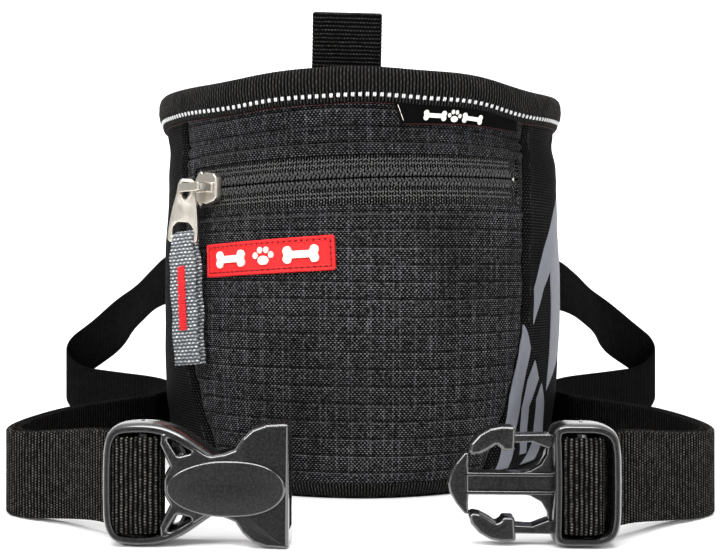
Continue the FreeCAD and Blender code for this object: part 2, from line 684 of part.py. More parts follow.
def joint_places():
    """Print the points and axes that the joints turn about."""
    bar_x = FEMALE_BUCKLE_END[0] + BUCKLE_BAR_AT
    places = {
        "pull pivot": pull_pivot(),
        "pull axis": rightward(PULL_BEARING),
        "loop pivot": bar_point(),
        "loop axis": pull_place(PULL_LEAN).Rotation.multVec(Vector(1, 0, 0)),
        "left buckle bar": Vector(bar_x, FEMALE_BUCKLE_END[1], 0),
        "right buckle bar": Vector(MALE_BUCKLE_END[0] - BUCKLE_BAR_AT, MALE_BUCKLE_END[1], 0),
        "upper prong": Vector(MALE_BUCKLE_END[0] - PRONG_PIVOT[0], MALE_BUCKLE_END[1], PRONG_PIVOT[1]),
    }
    for name, point in places.items():
        print(f"{name}: {point.x:.3f}, {point.y:.3f}, {point.z:.3f}")


def main():
    parts = {}
    for group in (
        body_panels(), body_inner_parts(), rim_parts(), front_badges(),
        {"side_print": side_print()}, zip_chain(),
        {"zip_slider": zip_slider(), "zip_pull": zip_pull()}, pull_webbing_loop(),
        belt_parts(), buckle_parts(),
    ):
        parts.update(group)
    os.makedirs("parts", exist_ok=True)
    for name, shape in parts.items():
        shape.exportStep(f"parts/{name}.step")
        print(f"{name}: {len(shape.Solids)} solid(s), valid {shape.isValid()}, {shape.Volume:.0f} mm3")
    joint_places()


main()
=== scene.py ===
import bmesh
import bpy
import json
import math
import numpy as np
from mathutils import Matrix, Vector

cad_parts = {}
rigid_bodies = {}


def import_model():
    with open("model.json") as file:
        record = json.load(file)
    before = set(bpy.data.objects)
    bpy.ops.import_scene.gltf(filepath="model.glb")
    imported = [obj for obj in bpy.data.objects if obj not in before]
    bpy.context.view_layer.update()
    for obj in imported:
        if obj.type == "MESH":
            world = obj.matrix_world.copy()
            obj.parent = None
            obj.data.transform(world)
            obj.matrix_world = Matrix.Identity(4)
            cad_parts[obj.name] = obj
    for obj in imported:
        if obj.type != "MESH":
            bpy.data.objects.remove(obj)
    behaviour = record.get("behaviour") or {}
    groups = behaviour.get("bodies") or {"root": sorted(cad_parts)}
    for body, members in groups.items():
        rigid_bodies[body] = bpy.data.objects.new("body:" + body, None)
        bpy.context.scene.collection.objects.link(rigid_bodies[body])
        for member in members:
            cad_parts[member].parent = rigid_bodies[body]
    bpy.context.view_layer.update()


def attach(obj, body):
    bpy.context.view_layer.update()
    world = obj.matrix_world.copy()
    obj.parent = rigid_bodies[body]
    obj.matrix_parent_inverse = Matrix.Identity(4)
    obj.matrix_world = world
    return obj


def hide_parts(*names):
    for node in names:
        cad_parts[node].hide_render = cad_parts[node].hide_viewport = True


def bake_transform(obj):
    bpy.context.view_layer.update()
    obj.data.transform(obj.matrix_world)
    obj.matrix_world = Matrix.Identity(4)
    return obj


for start_object in list(bpy.data.objects):
    bpy.data.objects.remove(start_object)

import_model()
MM = 0.001


def link_object(name, data):
    """A new object in the scene for a mesh, curve, lamp or camera."""
    obj = bpy.data.objects.new(name, data)
    bpy.context.collection.objects.link(obj)
    return obj


# ---- camera ----------------------------------------------------------------------------

CAMERA_TURN = math.radians(2.0)
CAMERA_DISTANCE = 367 * MM
CAMERA_HEIGHT = 70 * MM
LENS, SENSOR_WIDTH = 47.4, 36.0


def add_camera():
    """Level camera in front, a little to the right, at the pouch's mid-height."""
    data = bpy.data.cameras.new("camera")
    data.lens = LENS
    data.sensor_width = SENSOR_WIDTH
    data.clip_start = 0.01
    camera = link_object("camera", data)
    camera.location = (
        CAMERA_DISTANCE * math.sin(CAMERA_TURN), -CAMERA_DISTANCE * math.cos(CAMERA_TURN), CAMERA_HEIGHT
    )
    camera.rotation_euler = (math.pi / 2, 0, CAMERA_TURN)
    bpy.context.scene.camera = camera


add_camera()

# ---- meshes ----------------------------------------------------------------------------


def shade_smooth(mesh, sharp=None):
    """Smooth shading, broken at edges sharper than an angle in degrees if one is given."""
    mesh.polygons.foreach_set("use_smooth", [True] * len(mesh.polygons))
    if sharp:
        mesh.set_sharp_from_angle(angle=math.radians(sharp))


def new_object(name, verts, faces, uvs=None):
    """Smooth mesh object from arrays, with one UV per vertex in metres of cloth."""
    mesh = bpy.data.meshes.new(name)
    mesh.from_pydata(np.asarray(verts).tolist(), [], np.asarray(faces).tolist())
    if uvs is not None:
        layer = mesh.uv_layers.new(name="UVMap")
        loops = np.empty(len(mesh.loops), dtype=np.int64)
        mesh.loops.foreach_get("vertex_index", loops)
        layer.data.foreach_set("uv", np.asarray(uvs)[loops].astype(np.float32).ravel())
    shade_smooth(mesh)
    mesh.update()
    return link_object(name, mesh)


def edit_mesh(mesh, change=None):
    """Apply a change to a mesh, and turn every face outwards."""
    work = bmesh.new()
    work.from_mesh(mesh)
    if change:
        change(work)
    bmesh.ops.recalc_face_normals(work, faces=work.faces)
    work.to_mesh(mesh)
    work.free()


def close_ends(obj, rings):
    """Cap open rings of vertices."""

    def cap(work):
        work.verts.ensure_lookup_table()
        for ring_of_verts in rings:
            work.faces.new([work.verts[k] for k in ring_of_verts])

    edit_mesh(obj.data, cap)


def grid_faces(rows, cols, loop_rows=False, loop_cols=False):
    """Quads of a rows by cols grid, numbered row by row."""
    i = np.arange(rows if loop_rows else rows - 1)
    j = np.arange(cols if loop_cols else cols - 1)
    i, j = np.meshgrid(i, j, indexing="ij")
    next_i = (i + 1) % rows
    next_j = (j + 1) % cols
    quads = np.stack([i * cols + j, i * cols + next_j, next_i * cols + next_j, next_i * cols + j], -1)
    return quads.reshape(-1, 4)


def solidify(obj, thickness, offset=-1.0):
    """Give a sheet its thickness, inwards unless the offset says otherwise."""
    modifier = obj.modifiers.new("thickness", "SOLIDIFY")
    modifier.thickness = thickness
    modifier.offset = offset
    return obj


def dress(obj, material, body="pouch", nodes=()):
    """Material slot, body and the CAD nodes that a piece stands for."""
    obj.data.materials.clear()
    obj.data.materials.append(material)
    if body:
        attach(obj, body)
    if nodes:
        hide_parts(*nodes)
    return obj


def join(name, pieces):
    """One object from several meshes, their modifiers applied."""
    depsgraph = bpy.context.evaluated_depsgraph_get()
    merged = bmesh.new()
    for piece in pieces:
        merged.from_mesh(piece.evaluated_get(depsgraph).to_mesh())
        bpy.data.objects.remove(piece)
    mesh = bpy.data.meshes.new(name)
    merged.to_mesh(mesh)
    merged.free()
    return link_object(name, mesh)


def unit(vectors):
    """Each row at length 1."""
    return vectors / np.linalg.norm(vectors, axis=1, keepdims=True)


def distance_along(points):
    """Distance travelled at each point of a line."""
    return np.concatenate([[0], np.cumsum(np.linalg.norm(np.diff(points, axis=0), axis=1))])


def smooth_step(value):
    """0 to 1, level at both ends."""
    f = np.clip(value, 0, 1)
    return f * f * (3 - 2 * f)


def hump(distance, height, width):
    """A rounded ridge of a height and a half width."""
    return height * np.exp(-(distance / width) ** 2)


# ---- shader nodes ----------------------------------------------------------------------


class Shader:
    """A Principled material and short ways to add the nodes that feed it."""

    def __init__(self, name, roughness=0.8, metallic=0.0, sheen=0.0, specular=0.5):
        self.material = bpy.data.materials.new(name)
        self.material.use_nodes = True
        self.tree = self.material.node_tree
        self.surface = self.tree.nodes["Principled BSDF"]
        self.set("Roughness", roughness)
        self.set("Metallic", metallic)
        self.set("Specular IOR Level", specular)
        if sheen:
            self.set("Sheen Weight", sheen)
            self.set("Sheen Roughness", 0.45)

    def set(self, socket, value):
        self.surface.inputs[socket].default_value = value

    def link(self, source, socket):
        self.tree.links.new(source, self.surface.inputs[socket])

    def node(self, kind, inputs=None, **settings):
        """A new node; each input is a value, or a socket to link."""
        made = self.tree.nodes.new(kind)
        for key, value in settings.items():
            setattr(made, key, value)
        for key, value in (inputs or {}).items():
            if isinstance(value, bpy.types.NodeSocket):
                self.tree.links.new(value, made.inputs[key])
            else:
                made.inputs[key].default_value = value
        return made

    def math(self, operation, a, b=0.0, c=0.0, clamp=False):
        """The result of an operation on values or sockets, kept within 0 to 1 if clamped."""
        made = self.node("ShaderNodeMath", {0: a, 1: b, 2: c}, operation=operation)
        made.use_clamp = clamp
        return made.outputs[0]

    def uv(self):
        """Distances along and up the cloth, in metres."""
        split = self.node("ShaderNodeSeparateXYZ", {0: self.node("ShaderNodeUVMap").outputs[0]})
        return split.outputs[0], split.outputs[1]

    def place(self):
        """Object-space position, in metres."""
        return self.node("ShaderNodeTexCoord").outputs["Object"]

    def wave(self, along, pitch, shift=0.0):
        """0 to 1 and back over each pitch."""
        turn = self.math("MULTIPLY_ADD", along, 2 * math.pi / pitch, shift)
        return self.math("MULTIPLY_ADD", self.math("SINE", turn), 0.5, 0.5)

    def band(self, along, pitch, width, shift=0.0):
        """1 inside a soft line of that width, repeated at a pitch."""
        near = self.math("PINGPONG", self.math("ADD", along, shift), pitch / 2)
        line = self.math("MULTIPLY_ADD", near, -2.0 / width, 1.6, clamp=True)
        return self.math("SMOOTH_MIN", 1.0, line, 0.1)

    def stagger(self, along, across, row, shift):
        """Along, shifted on every second row."""
        odd = self.math("PINGPONG", self.math("FLOOR", self.math("DIVIDE", across, row)), 1.0)
        return self.math("MULTIPLY_ADD", odd, shift, along)

    def noise(self, scale, detail=3.0, roughness=0.6):
        """Noise fixed to the piece, with a scale in features for each metre."""
        made = self.node(
            "ShaderNodeTexNoise",
            {"Vector": self.place(), "Scale": scale, "Detail": detail, "Roughness": roughness},
        )
        return made.outputs["Fac"]

    def colour(self, factor, low, high):
        """Base colour between two, by a factor."""
        made = self.node("ShaderNodeMix", {0: factor, 6: (*low, 1), 7: (*high, 1)}, data_type="RGBA")
        self.link(made.outputs[2], "Base Color")

    def bump(self, height, distance, strength=1.0):
        """Relief from a height between 0 and 1, over a distance in metres."""
        made = self.node("ShaderNodeBump", {"Height": height, "Distance": distance, "Strength": strength})
        self.link(made.outputs[0], "Normal")


def ripstop_cloth():
    """Black ripstop: fine staggered flecks, partly random grain and partly painted sparkle on the weave,
    thin dark cross lines with a bright pick, faint uprights.
    """
    s = Shader("ripstop", roughness=0.62, specular=0.025)
    u, v = s.uv()
    row, dash, cross_pitch = 0.66 * MM, 1.25 * MM, 5.4 * MM
    sway = s.math("MULTIPLY_ADD", s.noise(9.0, 1.0), 3.0 * MM, v)
    shifted = s.stagger(u, sway, row, dash / 2)
    weave = s.math("MULTIPLY", s.wave(sway, row, -math.pi / 2), s.wave(shifted, dash))
    grains = s.math("MULTIPLY_ADD", s.noise(950.0), 3.2, -1.1, clamp=True)
    # Painted sparkle on the weave's knuckles, broken up by random grains.
    fleck = s.math("MULTIPLY", s.math("POWER", weave, 1.7), s.math("MULTIPLY_ADD", grains, 1.1, 0.12))
    broken = s.math("MULTIPLY_ADD", s.noise(230.0, 2.0), 3.0, -0.9, clamp=True)
    worn = s.math("MULTIPLY_ADD", broken, 0.6, 0.4)
    cross = s.math("MULTIPLY", s.band(sway, cross_pitch, 0.75 * MM), worn)
    pick = s.math("MULTIPLY", s.band(sway, cross_pitch, 0.4 * MM, 0.7 * MM), s.wave(u, dash))
    upright = s.math("MAXIMUM", s.band(u, 5.0 * MM, 0.35 * MM), s.band(u, 7.0 * MM, 0.35 * MM, 1.1 * MM))
    cloudy = s.math("MULTIPLY_ADD", s.noise(24.0, 2.0), 2.6, -0.55, clamp=True)
    picks = s.math("MULTIPLY", pick, 0.35)
    lines = s.math("MULTIPLY", s.math("MULTIPLY_ADD", upright, 0.22, picks), grains)
    light = s.math("MULTIPLY", s.math("ADD", fleck, lines), s.math("MULTIPLY_ADD", cloudy, 0.75, 0.35))
    light = s.math("MULTIPLY", light, s.math("MULTIPLY_ADD", cross, -0.8, 1.0), clamp=True)
    s.colour(light, (0.0010, 0.0010, 0.0011), (0.19, 0.19, 0.20))
    thread = s.math("MULTIPLY_ADD", upright, 0.4, weave)
    s.bump(s.math("MULTIPLY_ADD", cross, -0.6, thread), 0.14 * MM, 0.7)
    return s.material


def plain_cloth(name, low, high, pitch=1.15 * MM, roughness=0.75, specular=0.02):
    """Plain-woven pack cloth: small round knuckles in a chequered weave."""
    s = Shader(name, roughness=roughness, specular=specular)
    u, v = s.uv()
    row = 0.8 * pitch
    shifted = s.stagger(u, v, row, pitch / 2)
    weave = s.math("MULTIPLY", s.wave(v, row, -math.pi / 2), s.wave(shifted, pitch))
    grains = s.math("MULTIPLY_ADD", s.noise(900.0), 2.4, -0.5, clamp=True)
    cloudy = s.math("MULTIPLY", grains, s.math("MULTIPLY_ADD", s.noise(60.0, 3.0), 1.6, 0.1))
    light = s.math("MULTIPLY", s.math("POWER", weave, 2.2), cloudy, clamp=True)
    s.colour(light, low, high)
    s.bump(weave, 0.12 * MM, 0.7)
    return s.material


# Length over which the painted shade on the belt's rib crests fades out.
SHADE_FADE = 30 * MM


def webbing_cloth(name, low, high, pitch, knuckle=0.9 * MM, broken=0.85, wavy=0.0, sharp=3.4,
                  shaded_until=0.0):
    """Ribbed webbing: rib crests painted light as highlights and broken into knuckles, dark valleys
    between.

    Up to a distance along it, painted shade dims the crests of webbing that is turned away from the light,
    so that it looks nearly plain.
    """
    s = Shader(name, roughness=0.66, specular=0.02)
    along, v = s.uv()
    u = s.math("MULTIPLY_ADD", s.noise(260.0, 2.0), 0.45 * pitch, along)
    if wavy:
        u = s.math("MULTIPLY_ADD", s.wave(v, 2.1 * MM), wavy, u)
    rib = s.math("POWER", s.wave(u, pitch, 0.05 * math.pi), sharp)
    shifted = s.stagger(v, u, pitch, knuckle / 2)
    grains = s.math("MULTIPLY_ADD", s.noise(800.0), 3.0, -0.95, clamp=True)
    fleck = s.math("MULTIPLY", s.wave(shifted, knuckle), s.math("MULTIPLY_ADD", grains, 1.1, 0.15))
    spots = s.math("MULTIPLY_ADD", s.math("POWER", fleck, 1.5), broken, 1.0 - broken)
    # Painted highlight: the crests and their knuckles take the high colour, the valleys keep the low one.
    crest = s.math("MULTIPLY", rib, spots, clamp=True)
    if shaded_until:
        # Painted shade: crests dimmed to about an eighth up to the given distance, brightening over a short
        # run after it.
        out_of_shade = s.math("MULTIPLY_ADD", along, 1 / SHADE_FADE, -shaded_until / SHADE_FADE, clamp=True)
        crest = s.math("MULTIPLY", crest, s.math("MULTIPLY_ADD", out_of_shade, 0.88, 0.12))
    s.colour(crest, low, high)
    s.bump(s.math("MULTIPLY", rib, s.math("MULTIPLY_ADD", fleck, 0.5, 0.5)), 0.2 * MM, 0.8)
    return s.material


def thread_yarn(name, low, high, roughness=0.6):
    """Twisted yarn: short slanting strands."""
    s = Shader(name, roughness=roughness, sheen=0.04, specular=0.2)
    strands = s.noise(1600.0, 2.0)
    s.colour(strands, low, high)
    s.bump(strands, 0.08 * MM, 0.7)
    return s.material


def moulded(name, colour, roughness, grain_scale, grain, specular=0.5, mottle=0.25):
    """Moulded plastic or rubber, film or plain steel: a fine grain and slight shade variation."""
    s = Shader(name, specular=specular)
    soft = s.noise(90.0, 3.0)
    dark = tuple(c * (1 - mottle) for c in colour)
    bright = tuple(min(1.0, c * (1 + mottle)) for c in colour)
    s.colour(soft, dark, bright)
    s.link(s.math("MULTIPLY_ADD", s.noise(220.0, 4.0), 0.16, roughness - 0.08), "Roughness")
    s.bump(s.noise(grain_scale, 4.0, 0.7), grain, 0.8)
    return s.material


def buckle_plastic():
    """Black acetal: spark-eroded grain on the flat faces, polished on the rounded rails."""
    s = Shader("acetal", specular=0.17)
    s.set("Coat IOR", 2.0)
    s.set("Coat Roughness", 0.20)
    normal = s.node("ShaderNodeSeparateXYZ", {0: s.node("ShaderNodeTexCoord").outputs["Normal"]})
    flat = s.math("MULTIPLY_ADD", s.math("ABSOLUTE", normal.outputs[1]), 16.0, -15.0, clamp=True)
    grain = s.math("MULTIPLY_ADD", s.noise(1500.0, 2.0, 0.6), 4.0, -1.6, clamp=True)
    s.colour(s.math("MULTIPLY", grain, flat), (0.0008, 0.0008, 0.0009), (0.012, 0.012, 0.012))
    s.link(s.math("SUBTRACT", 1.0, flat), "Coat Weight")
    polish = s.math("MULTIPLY_ADD", s.noise(300.0), 0.10, 0.17)
    s.link(s.math("MULTIPLY_ADD", flat, 0.16, polish), "Roughness")
    s.bump(s.math("MULTIPLY", grain, s.math("MULTIPLY_ADD", flat, 0.5, 0.5)), 0.06 * MM, 1.0)
    return s.material


PATCH_HALF_WIDTH, PATCH_HALF_HEIGHT = 23.3, 5.6
PATCH_CHANNEL, PATCH_STITCH = 1.35, 1.9


def patch_rubber():
    """Red rubber, with painted shade down in the stitch channel inside the patch's rim, lighter at the
    stitch dashes.
    """
    s = Shader("patch_rubber", roughness=0.5, specular=0.16)
    u, v = s.uv()
    beside = s.math("SUBTRACT", PATCH_HALF_WIDTH * MM, s.math("ABSOLUTE", u))
    above = s.math("SUBTRACT", PATCH_HALF_HEIGHT * MM, s.math("ABSOLUTE", v))
    from_edge = s.math("MINIMUM", beside, above)
    off_channel = s.math("ABSOLUTE", s.math("SUBTRACT", from_edge, PATCH_CHANNEL * MM))
    channel = s.math("MULTIPLY_ADD", off_channel, -2.2 / MM, 1.0, clamp=True)
    dashes = s.math("MULTIPLY", s.wave(u, PATCH_STITCH * MM), s.wave(v, PATCH_STITCH * MM))
    # Painted shade in the recessed channel, eased over the raised stitch dashes.
    shade = s.math("MULTIPLY", channel, s.math("MULTIPLY_ADD", dashes, -0.5, 0.95))
    s.colour(shade, (0.62, 0.016, 0.018), (0.12, 0.003, 0.004))
    s.bump(s.noise(1500.0, 4.0, 0.7), 0.03 * MM, 0.8)
    return s.material


def plated_metal():
    """Warm nickel plate, lightly tumbled, duller in patches."""
    s = Shader("nickel", metallic=1.0)
    wear = s.noise(160.0, 4.0)
    s.colour(wear, (0.52, 0.48, 0.42), (0.70, 0.66, 0.59))
    s.link(s.math("MULTIPLY_ADD", s.noise(420.0, 3.0), 0.22, 0.22), "Roughness")
    s.bump(s.noise(900.0, 3.0), 0.02 * MM, 0.35)
    return s.material


BLACK = (0.0005, 0.0005, 0.0005)
BELT_RIB = 1.2 * MM
RIM_RIB, TAB_RIB, LOOP_RIB = 1.05, 1.25, 1.15
RIPSTOP = ripstop_cloth()
SIDE_CLOTH = plain_cloth("side_cloth", (0.0008, 0.0008, 0.0008), (0.057, 0.0555, 0.054))
LINING_CLOTH = plain_cloth("lining_cloth", (0.012, 0.012, 0.013), (0.055, 0.055, 0.058), 0.6 * MM, 0.5)
# For each webbing below, the high colour is the painted highlight on its rib crests; the grey loop's is
# also its own light grey.
GROSGRAIN = webbing_cloth("grosgrain", BLACK, (0.050, 0.048, 0.046), RIM_RIB * MM, 2.2 * MM, 0.6, sharp=2.2)
BELT_KNUCKLE = 0.75 * MM
BLACK_WEBBING = webbing_cloth(
    "black_webbing", BLACK, (0.170, 0.158, 0.145), BELT_RIB, BELT_KNUCKLE, 0.97, sharp=2.6
)
# The belt's free sides carry painted shade on their first stretch, behind the pouch.
BELT_WEBBING = webbing_cloth(
    "belt_webbing", BLACK, (0.145, 0.135, 0.124), BELT_RIB, BELT_KNUCKLE, 0.97, sharp=2.6, shaded_until=0.345
)
# The tails are the belt's own webbing, with far dimmer crests: painted shade where they lie behind the main
# strap.
SHADED_TAIL_WEBBING = webbing_cloth("tail_webbing", BLACK, (0.030, 0.028, 0.026), BELT_RIB, BELT_KNUCKLE, 0.9)
TAB_WEBBING = webbing_cloth("tab_webbing", BLACK, (0.050, 0.047, 0.045), TAB_RIB * MM, 1.0 * MM, 0.9)
ZIP_TAPE = webbing_cloth("zip_tape", BLACK, (0.22, 0.215, 0.21), 0.9 * MM, 1.0 * MM, 0.9)
GREY_WEBBING = webbing_cloth(
    "grey_webbing", (0.046, 0.053, 0.060), (0.84, 0.86, 0.88), LOOP_RIB * MM, 1.5 * MM, 0.85, 0.12 * MM, 1.5
)
REFLECTIVE = thread_yarn("reflective_thread", (0.38, 0.38, 0.39), (0.78, 0.78, 0.78), 0.4)
RED_THREAD = thread_yarn("red_thread", (0.42, 0.006, 0.010), (0.80, 0.020, 0.026))
DARK_RED_THREAD = thread_yarn("dark_red_thread", (0.010, 0.002, 0.002), (0.060, 0.004, 0.004))
BLACK_THREAD = thread_yarn("black_thread", (0.003, 0.003, 0.003), (0.040, 0.039, 0.038))
WHITE_THREAD = thread_yarn("white_thread", (0.50, 0.46, 0.41), (0.80, 0.76, 0.70))
SATIN = plain_cloth("satin", (0.0020, 0.0020, 0.0021), (0.010, 0.010, 0.010), 0.35 * MM, 0.6, 0.015)
PATCH_RUBBER = patch_rubber()
EMBLEM_RUBBER = moulded("emblem_rubber", (0.80, 0.77, 0.70), 0.5, 1500.0, 0.03 * MM, 0.3, 0.05)
PRINT_FILM = moulded("print_film", (0.142, 0.147, 0.172), 0.5, 2500.0, 0.05 * MM, 0.2, 0.15)
ACETAL = buckle_plastic()
COIL_NYLON = moulded("coil_nylon", (0.030, 0.030, 0.030), 0.42, 900.0, 0.03 * MM, 0.4)
ZIP_KNOTS = thread_yarn("zip_knots", (0.006, 0.006, 0.006), (0.15, 0.15, 0.15))
NICKEL = plated_metal()
SPRING_STEEL = moulded("spring_steel", (0.35, 0.36, 0.38), 0.35, 600.0, 0.02 * MM)

# ---- belts -----------------------------------------------------------------------------
# The routes are in millimetres. In front they repeat the design's points, behind the pouch
# their turns are rounder, and they go on round each buckle's bar.

BELT_WIDTH = 25 * MM
BELT_THICKNESS = 1.6 * MM
ON_TABLE = 12.5
AT_BUCKLE = 16.05
SOCKET_END = (-63.0, -119.0)
PLUG_END = (72.0, -116.5)
LEFT_ROUTE = [
    (-50.8, 39.7, 67.5), (-70.0, 42.0, 71.0), (-89.0, 56.0, 70.5), (-106.0, 78.0, 59.0),
    (-122.0, 97.0, 47.0), (-140.0, 110.0, 35.0), (-154.5, 108.0, 24.0), (-144.0, 97.0, 13.5),
    (-122.9, 83.0, ON_TABLE), (-90.0, 54.9, ON_TABLE), (-77.8, 22.3, ON_TABLE),
    (-77.1, 0.3, ON_TABLE), (-89.3, -21.1, ON_TABLE), (-100.7, -39.5, ON_TABLE),
    (-104.7, -68.7, ON_TABLE), (-102.9, -88.6, ON_TABLE), (-94.7, -95.4, ON_TABLE),
    (-81.0, -101.0, 14.0), (-69.2, -109.9, AT_BUCKLE),
]
RIGHT_ROUTE = [
    (50.8, 39.7, 67.5), (68.0, 43.0, 69.0), (87.0, 58.0, 67.5), (103.0, 82.0, 58.0),
    (117.0, 105.0, 46.0), (134.0, 118.0, 35.0), (147.0, 117.0, 24.0), (137.0, 106.0, 13.5),
    (116.9, 91.0, ON_TABLE), (85.9, 61.1, ON_TABLE), (76.8, 27.7, ON_TABLE),
    (77.2, 5.7, ON_TABLE), (90.5, -14.9, ON_TABLE), (103.2, -32.4, ON_TABLE),
    (109.2, -61.3, ON_TABLE), (108.9, -81.4, ON_TABLE), (101.6, -89.0, ON_TABLE),
    (89.0, -97.5, 14.0), (78.2, -107.4, AT_BUCKLE),
]
LEFT_TAIL_ROUTE = [
    (-67.7, -107.8, AT_BUCKLE), (-79.5, -98.7, 14.0), (-93.2, -93.2, ON_TABLE),
    (-100.3, -86.6, ON_TABLE), (-102.2, -68.6, ON_TABLE), (-98.4, -40.6, ON_TABLE),
    (-87.3, -22.4, ON_TABLE), (-78.4, -7.0, ON_TABLE),
]
RIGHT_TAIL_ROUTE = [
    (76.7, -105.3, AT_BUCKLE), (87.5, -95.2, 14.0), (99.4, -87.1, ON_TABLE),
    (106.3, -80.2, ON_TABLE), (106.8, -61.4, ON_TABLE), (101.0, -33.6, ON_TABLE),
    (88.4, -16.6, ON_TABLE), (80.2, -4.2, ON_TABLE),
]
# Round the bar, in a buckle's plan: inwards from its webbing end, then backwards.
ROUND_SOCKET_BAR = [
    (0.2, 4.4), (2.6, 2.0), (3.0, -4.4), (9.0, -4.7), (15.0, -4.4), (14.9, 3.2), (9.0, 3.4), (5.5, 5.0),
]
ROUND_PLUG_BAR = [
    (0.2, 4.4), (4.4, 2.4), (5.4, -4.2), (10.0, -4.7), (15.2, -4.4), (15.0, 3.2), (9.0, 3.4), (5.5, 5.0),
]
TAIL_START = [(7.0, 4.3), (3.6, 5.9)]
# The webbing tips as it comes off the back, and is upright again before it reaches the table.
UPPER_LEAN = 18.0
LEANS_WITHIN = 25 * MM
STANDS_FROM, STANDS_WITHIN = 75 * MM, 50 * MM
UP = np.array([[0.0, 0.0, 1.0]])


def facing(end):
    """1 for the half whose inner end points right, -1 for the half whose inner end points left."""
    return 1 if end[0] < 0 else -1


def in_buckle(points, end):
    """Buckle plan points as places in the frame, at the webbing's height."""
    return [(end[0] + facing(end) * u, end[1] + v, AT_BUCKLE) for u, v in points]


def spline_line(route):
    """The smooth line of a NURBS spline whose control points are the route's."""
    data = bpy.data.curves.new("line", "CURVE")
    data.dimensions = "3D"
    spline = data.splines.new("NURBS")
    spline.points.add(len(route) - 1)
    for point, place in zip(spline.points, route):
        point.co = (place[0] * MM, place[1] * MM, place[2] * MM, 1.0)
    spline.order_u = 3
    spline.use_endpoint_u = True
    spline.resolution_u = 24
    line = link_object("line", data)
    mesh = bpy.data.meshes.new_from_object(line)
    points = np.array([v.co for v in mesh.vertices])
    bpy.data.objects.remove(line)
    bpy.data.meshes.remove(mesh)
    return points


def even_line(points, step):
    """The line again with points a step apart, and the distance travelled at each."""
    travelled = distance_along(points)
    count = max(8, int(round(travelled[-1] / step)) + 1)
    at = np.linspace(0, travelled[-1], count)
    return np.stack([np.interp(at, travelled, points[:, k]) for k in range(3)], 1), at


def webbing_mesh(name, line, across, width, thickness, rib, relief=0.16 * MM):
    """Webbing along a line: rounded edges, and cross ribs in the mesh."""
    at = distance_along(line)
    width = np.broadcast_to(width, at.shape)
    outward = np.cross(unit(np.gradient(line, axis=0)), across)
    edge = 0.35 * thickness
    inner_edge = edge - 0.08 * thickness
    rounding = [(inner_edge, 0.45), (edge, 0.0), (inner_edge, -0.45)]
    flat = np.linspace(-1, 1, 11)
    section = [(f, 0.0, 1.0) for f in flat] + [(1.0, e, side) for e, side in rounding]
    section += [(f, 0.0, -1.0) for f in flat[::-1]]
    section += [(-1.0, -e, -side) for e, side in rounding]
    crest = 0.5 + 0.5 * np.cos(2 * np.pi * at / rib)
    half = thickness / 2 - relief * (1 - crest)
    verts, uvs = [], []
    for fraction, extra, side in section:
        bump = 0.12 * MM * (crest - 0.5) * np.sign(extra)
        place = fraction * (width / 2 - edge) + extra + bump
        verts.append(line + across * place[:, None] + outward * (side * half)[:, None])
        uvs.append(np.stack([at, place], 1))
    size = len(section)
    verts = np.stack(verts, 1).reshape(-1, 3)
    uvs = np.stack(uvs, 1).reshape(-1, 2)
    obj = new_object(name, verts, grid_faces(len(at), size, loop_cols=True), uvs)
    close_ends(obj, [range(size), range((len(at) - 1) * size, len(at) * size)])
    return obj


def ribbon(name, route, lean):
    """Belt webbing that stands on edge along a route, with a lean in degrees near its start."""
    line, at = even_line(spline_line(route), BELT_RIB / 5)
    along = unit(np.gradient(line, axis=0))
    upright = unit(UP - along * along[:, 2:])
    face = np.cross(along, upright)
    standing = smooth_step((at - STANDS_FROM) / STANDS_WITHIN)[:, None]
    angle = math.radians(lean) * smooth_step(at / LEANS_WITHIN)[:, None] * (1 - standing)
    across = upright * np.cos(angle) + face * np.sin(angle)
    across = unit(across * (1 - standing) + UP * standing)
    obj = webbing_mesh(name, line, across, BELT_WIDTH, BELT_THICKNESS, BELT_RIB)
    return obj, line, at[-1]


def belt_side(side, route, tail_route, round_bar, end):
    """One free side of the belt: the webbing to the buckle's bar, and its tail doubled back."""
    run = route + in_buckle(round_bar, end)
    main, line, length = ribbon(f"{side}_belt_webbing", run, facing(end) * UPPER_LEAN)
    back = in_buckle(TAIL_START, end) + tail_route
    tail = ribbon(f"{side}_belt_tail_webbing", back, 0.0)[0]
    for piece, material in ((main, BELT_WEBBING), (tail, SHADED_TAIL_WEBBING)):
        dress(piece, material, body=None)
        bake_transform(piece)
    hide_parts(f"{side}_belt", f"{side}_belt_end_loop")
    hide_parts(f"{side}_belt_tail")
    return main, line, length, tail


left_side = belt_side("left", LEFT_ROUTE, LEFT_TAIL_ROUTE, ROUND_SOCKET_BAR, SOCKET_END)
right_side = belt_side("right", RIGHT_ROUTE, RIGHT_TAIL_ROUTE, ROUND_PLUG_BAR, PLUG_END)


# ---- pouch plan ------------------------------------------------------------------------
# Places on the pouch are (t, z, h) in millimetres: t round it from the middle of the
# front towards the right, z up, and h outwards from the outer cloth.

WALL_OUTLINE = np.array([
    (66.0, 0.0), (69.8, 6.0), (71.6, 20.0), (72.7, 42.0), (73.0, 65.0), (72.3, 92.0),
    (71.2, 108.0), (70.8, 117.0), (72.5, 123.0), (74.3, 128.0), (74.4, 137.0),
])
MID_RADIUS = 73.0
BACK_Y = 38.0
CORNER_RADIUS = 14.0
SIDE_RUN = BACK_Y - CORNER_RADIUS
FRONT_ARC = MID_RADIUS * math.pi / 2
CORNER_ARC = CORNER_RADIUS * math.pi / 2
HALF_BACK = MID_RADIUS - CORNER_RADIUS
CORNER_END = FRONT_ARC + SIDE_RUN + CORNER_ARC
HALF_GIRTH = CORNER_END + HALF_BACK
FOOT, CLOTH_TOP = 1.5, 134.4
RIM_LOW, RIM_HIGH = 124.5, 135.7
ZIP_LOW, ZIP_LINE, ZIP_HIGH = 92.6, 100.8, 108.1
ZIP_HALF_WIDTH = 54.0
ZIP_SLOPE = math.tan(math.radians(1.9))
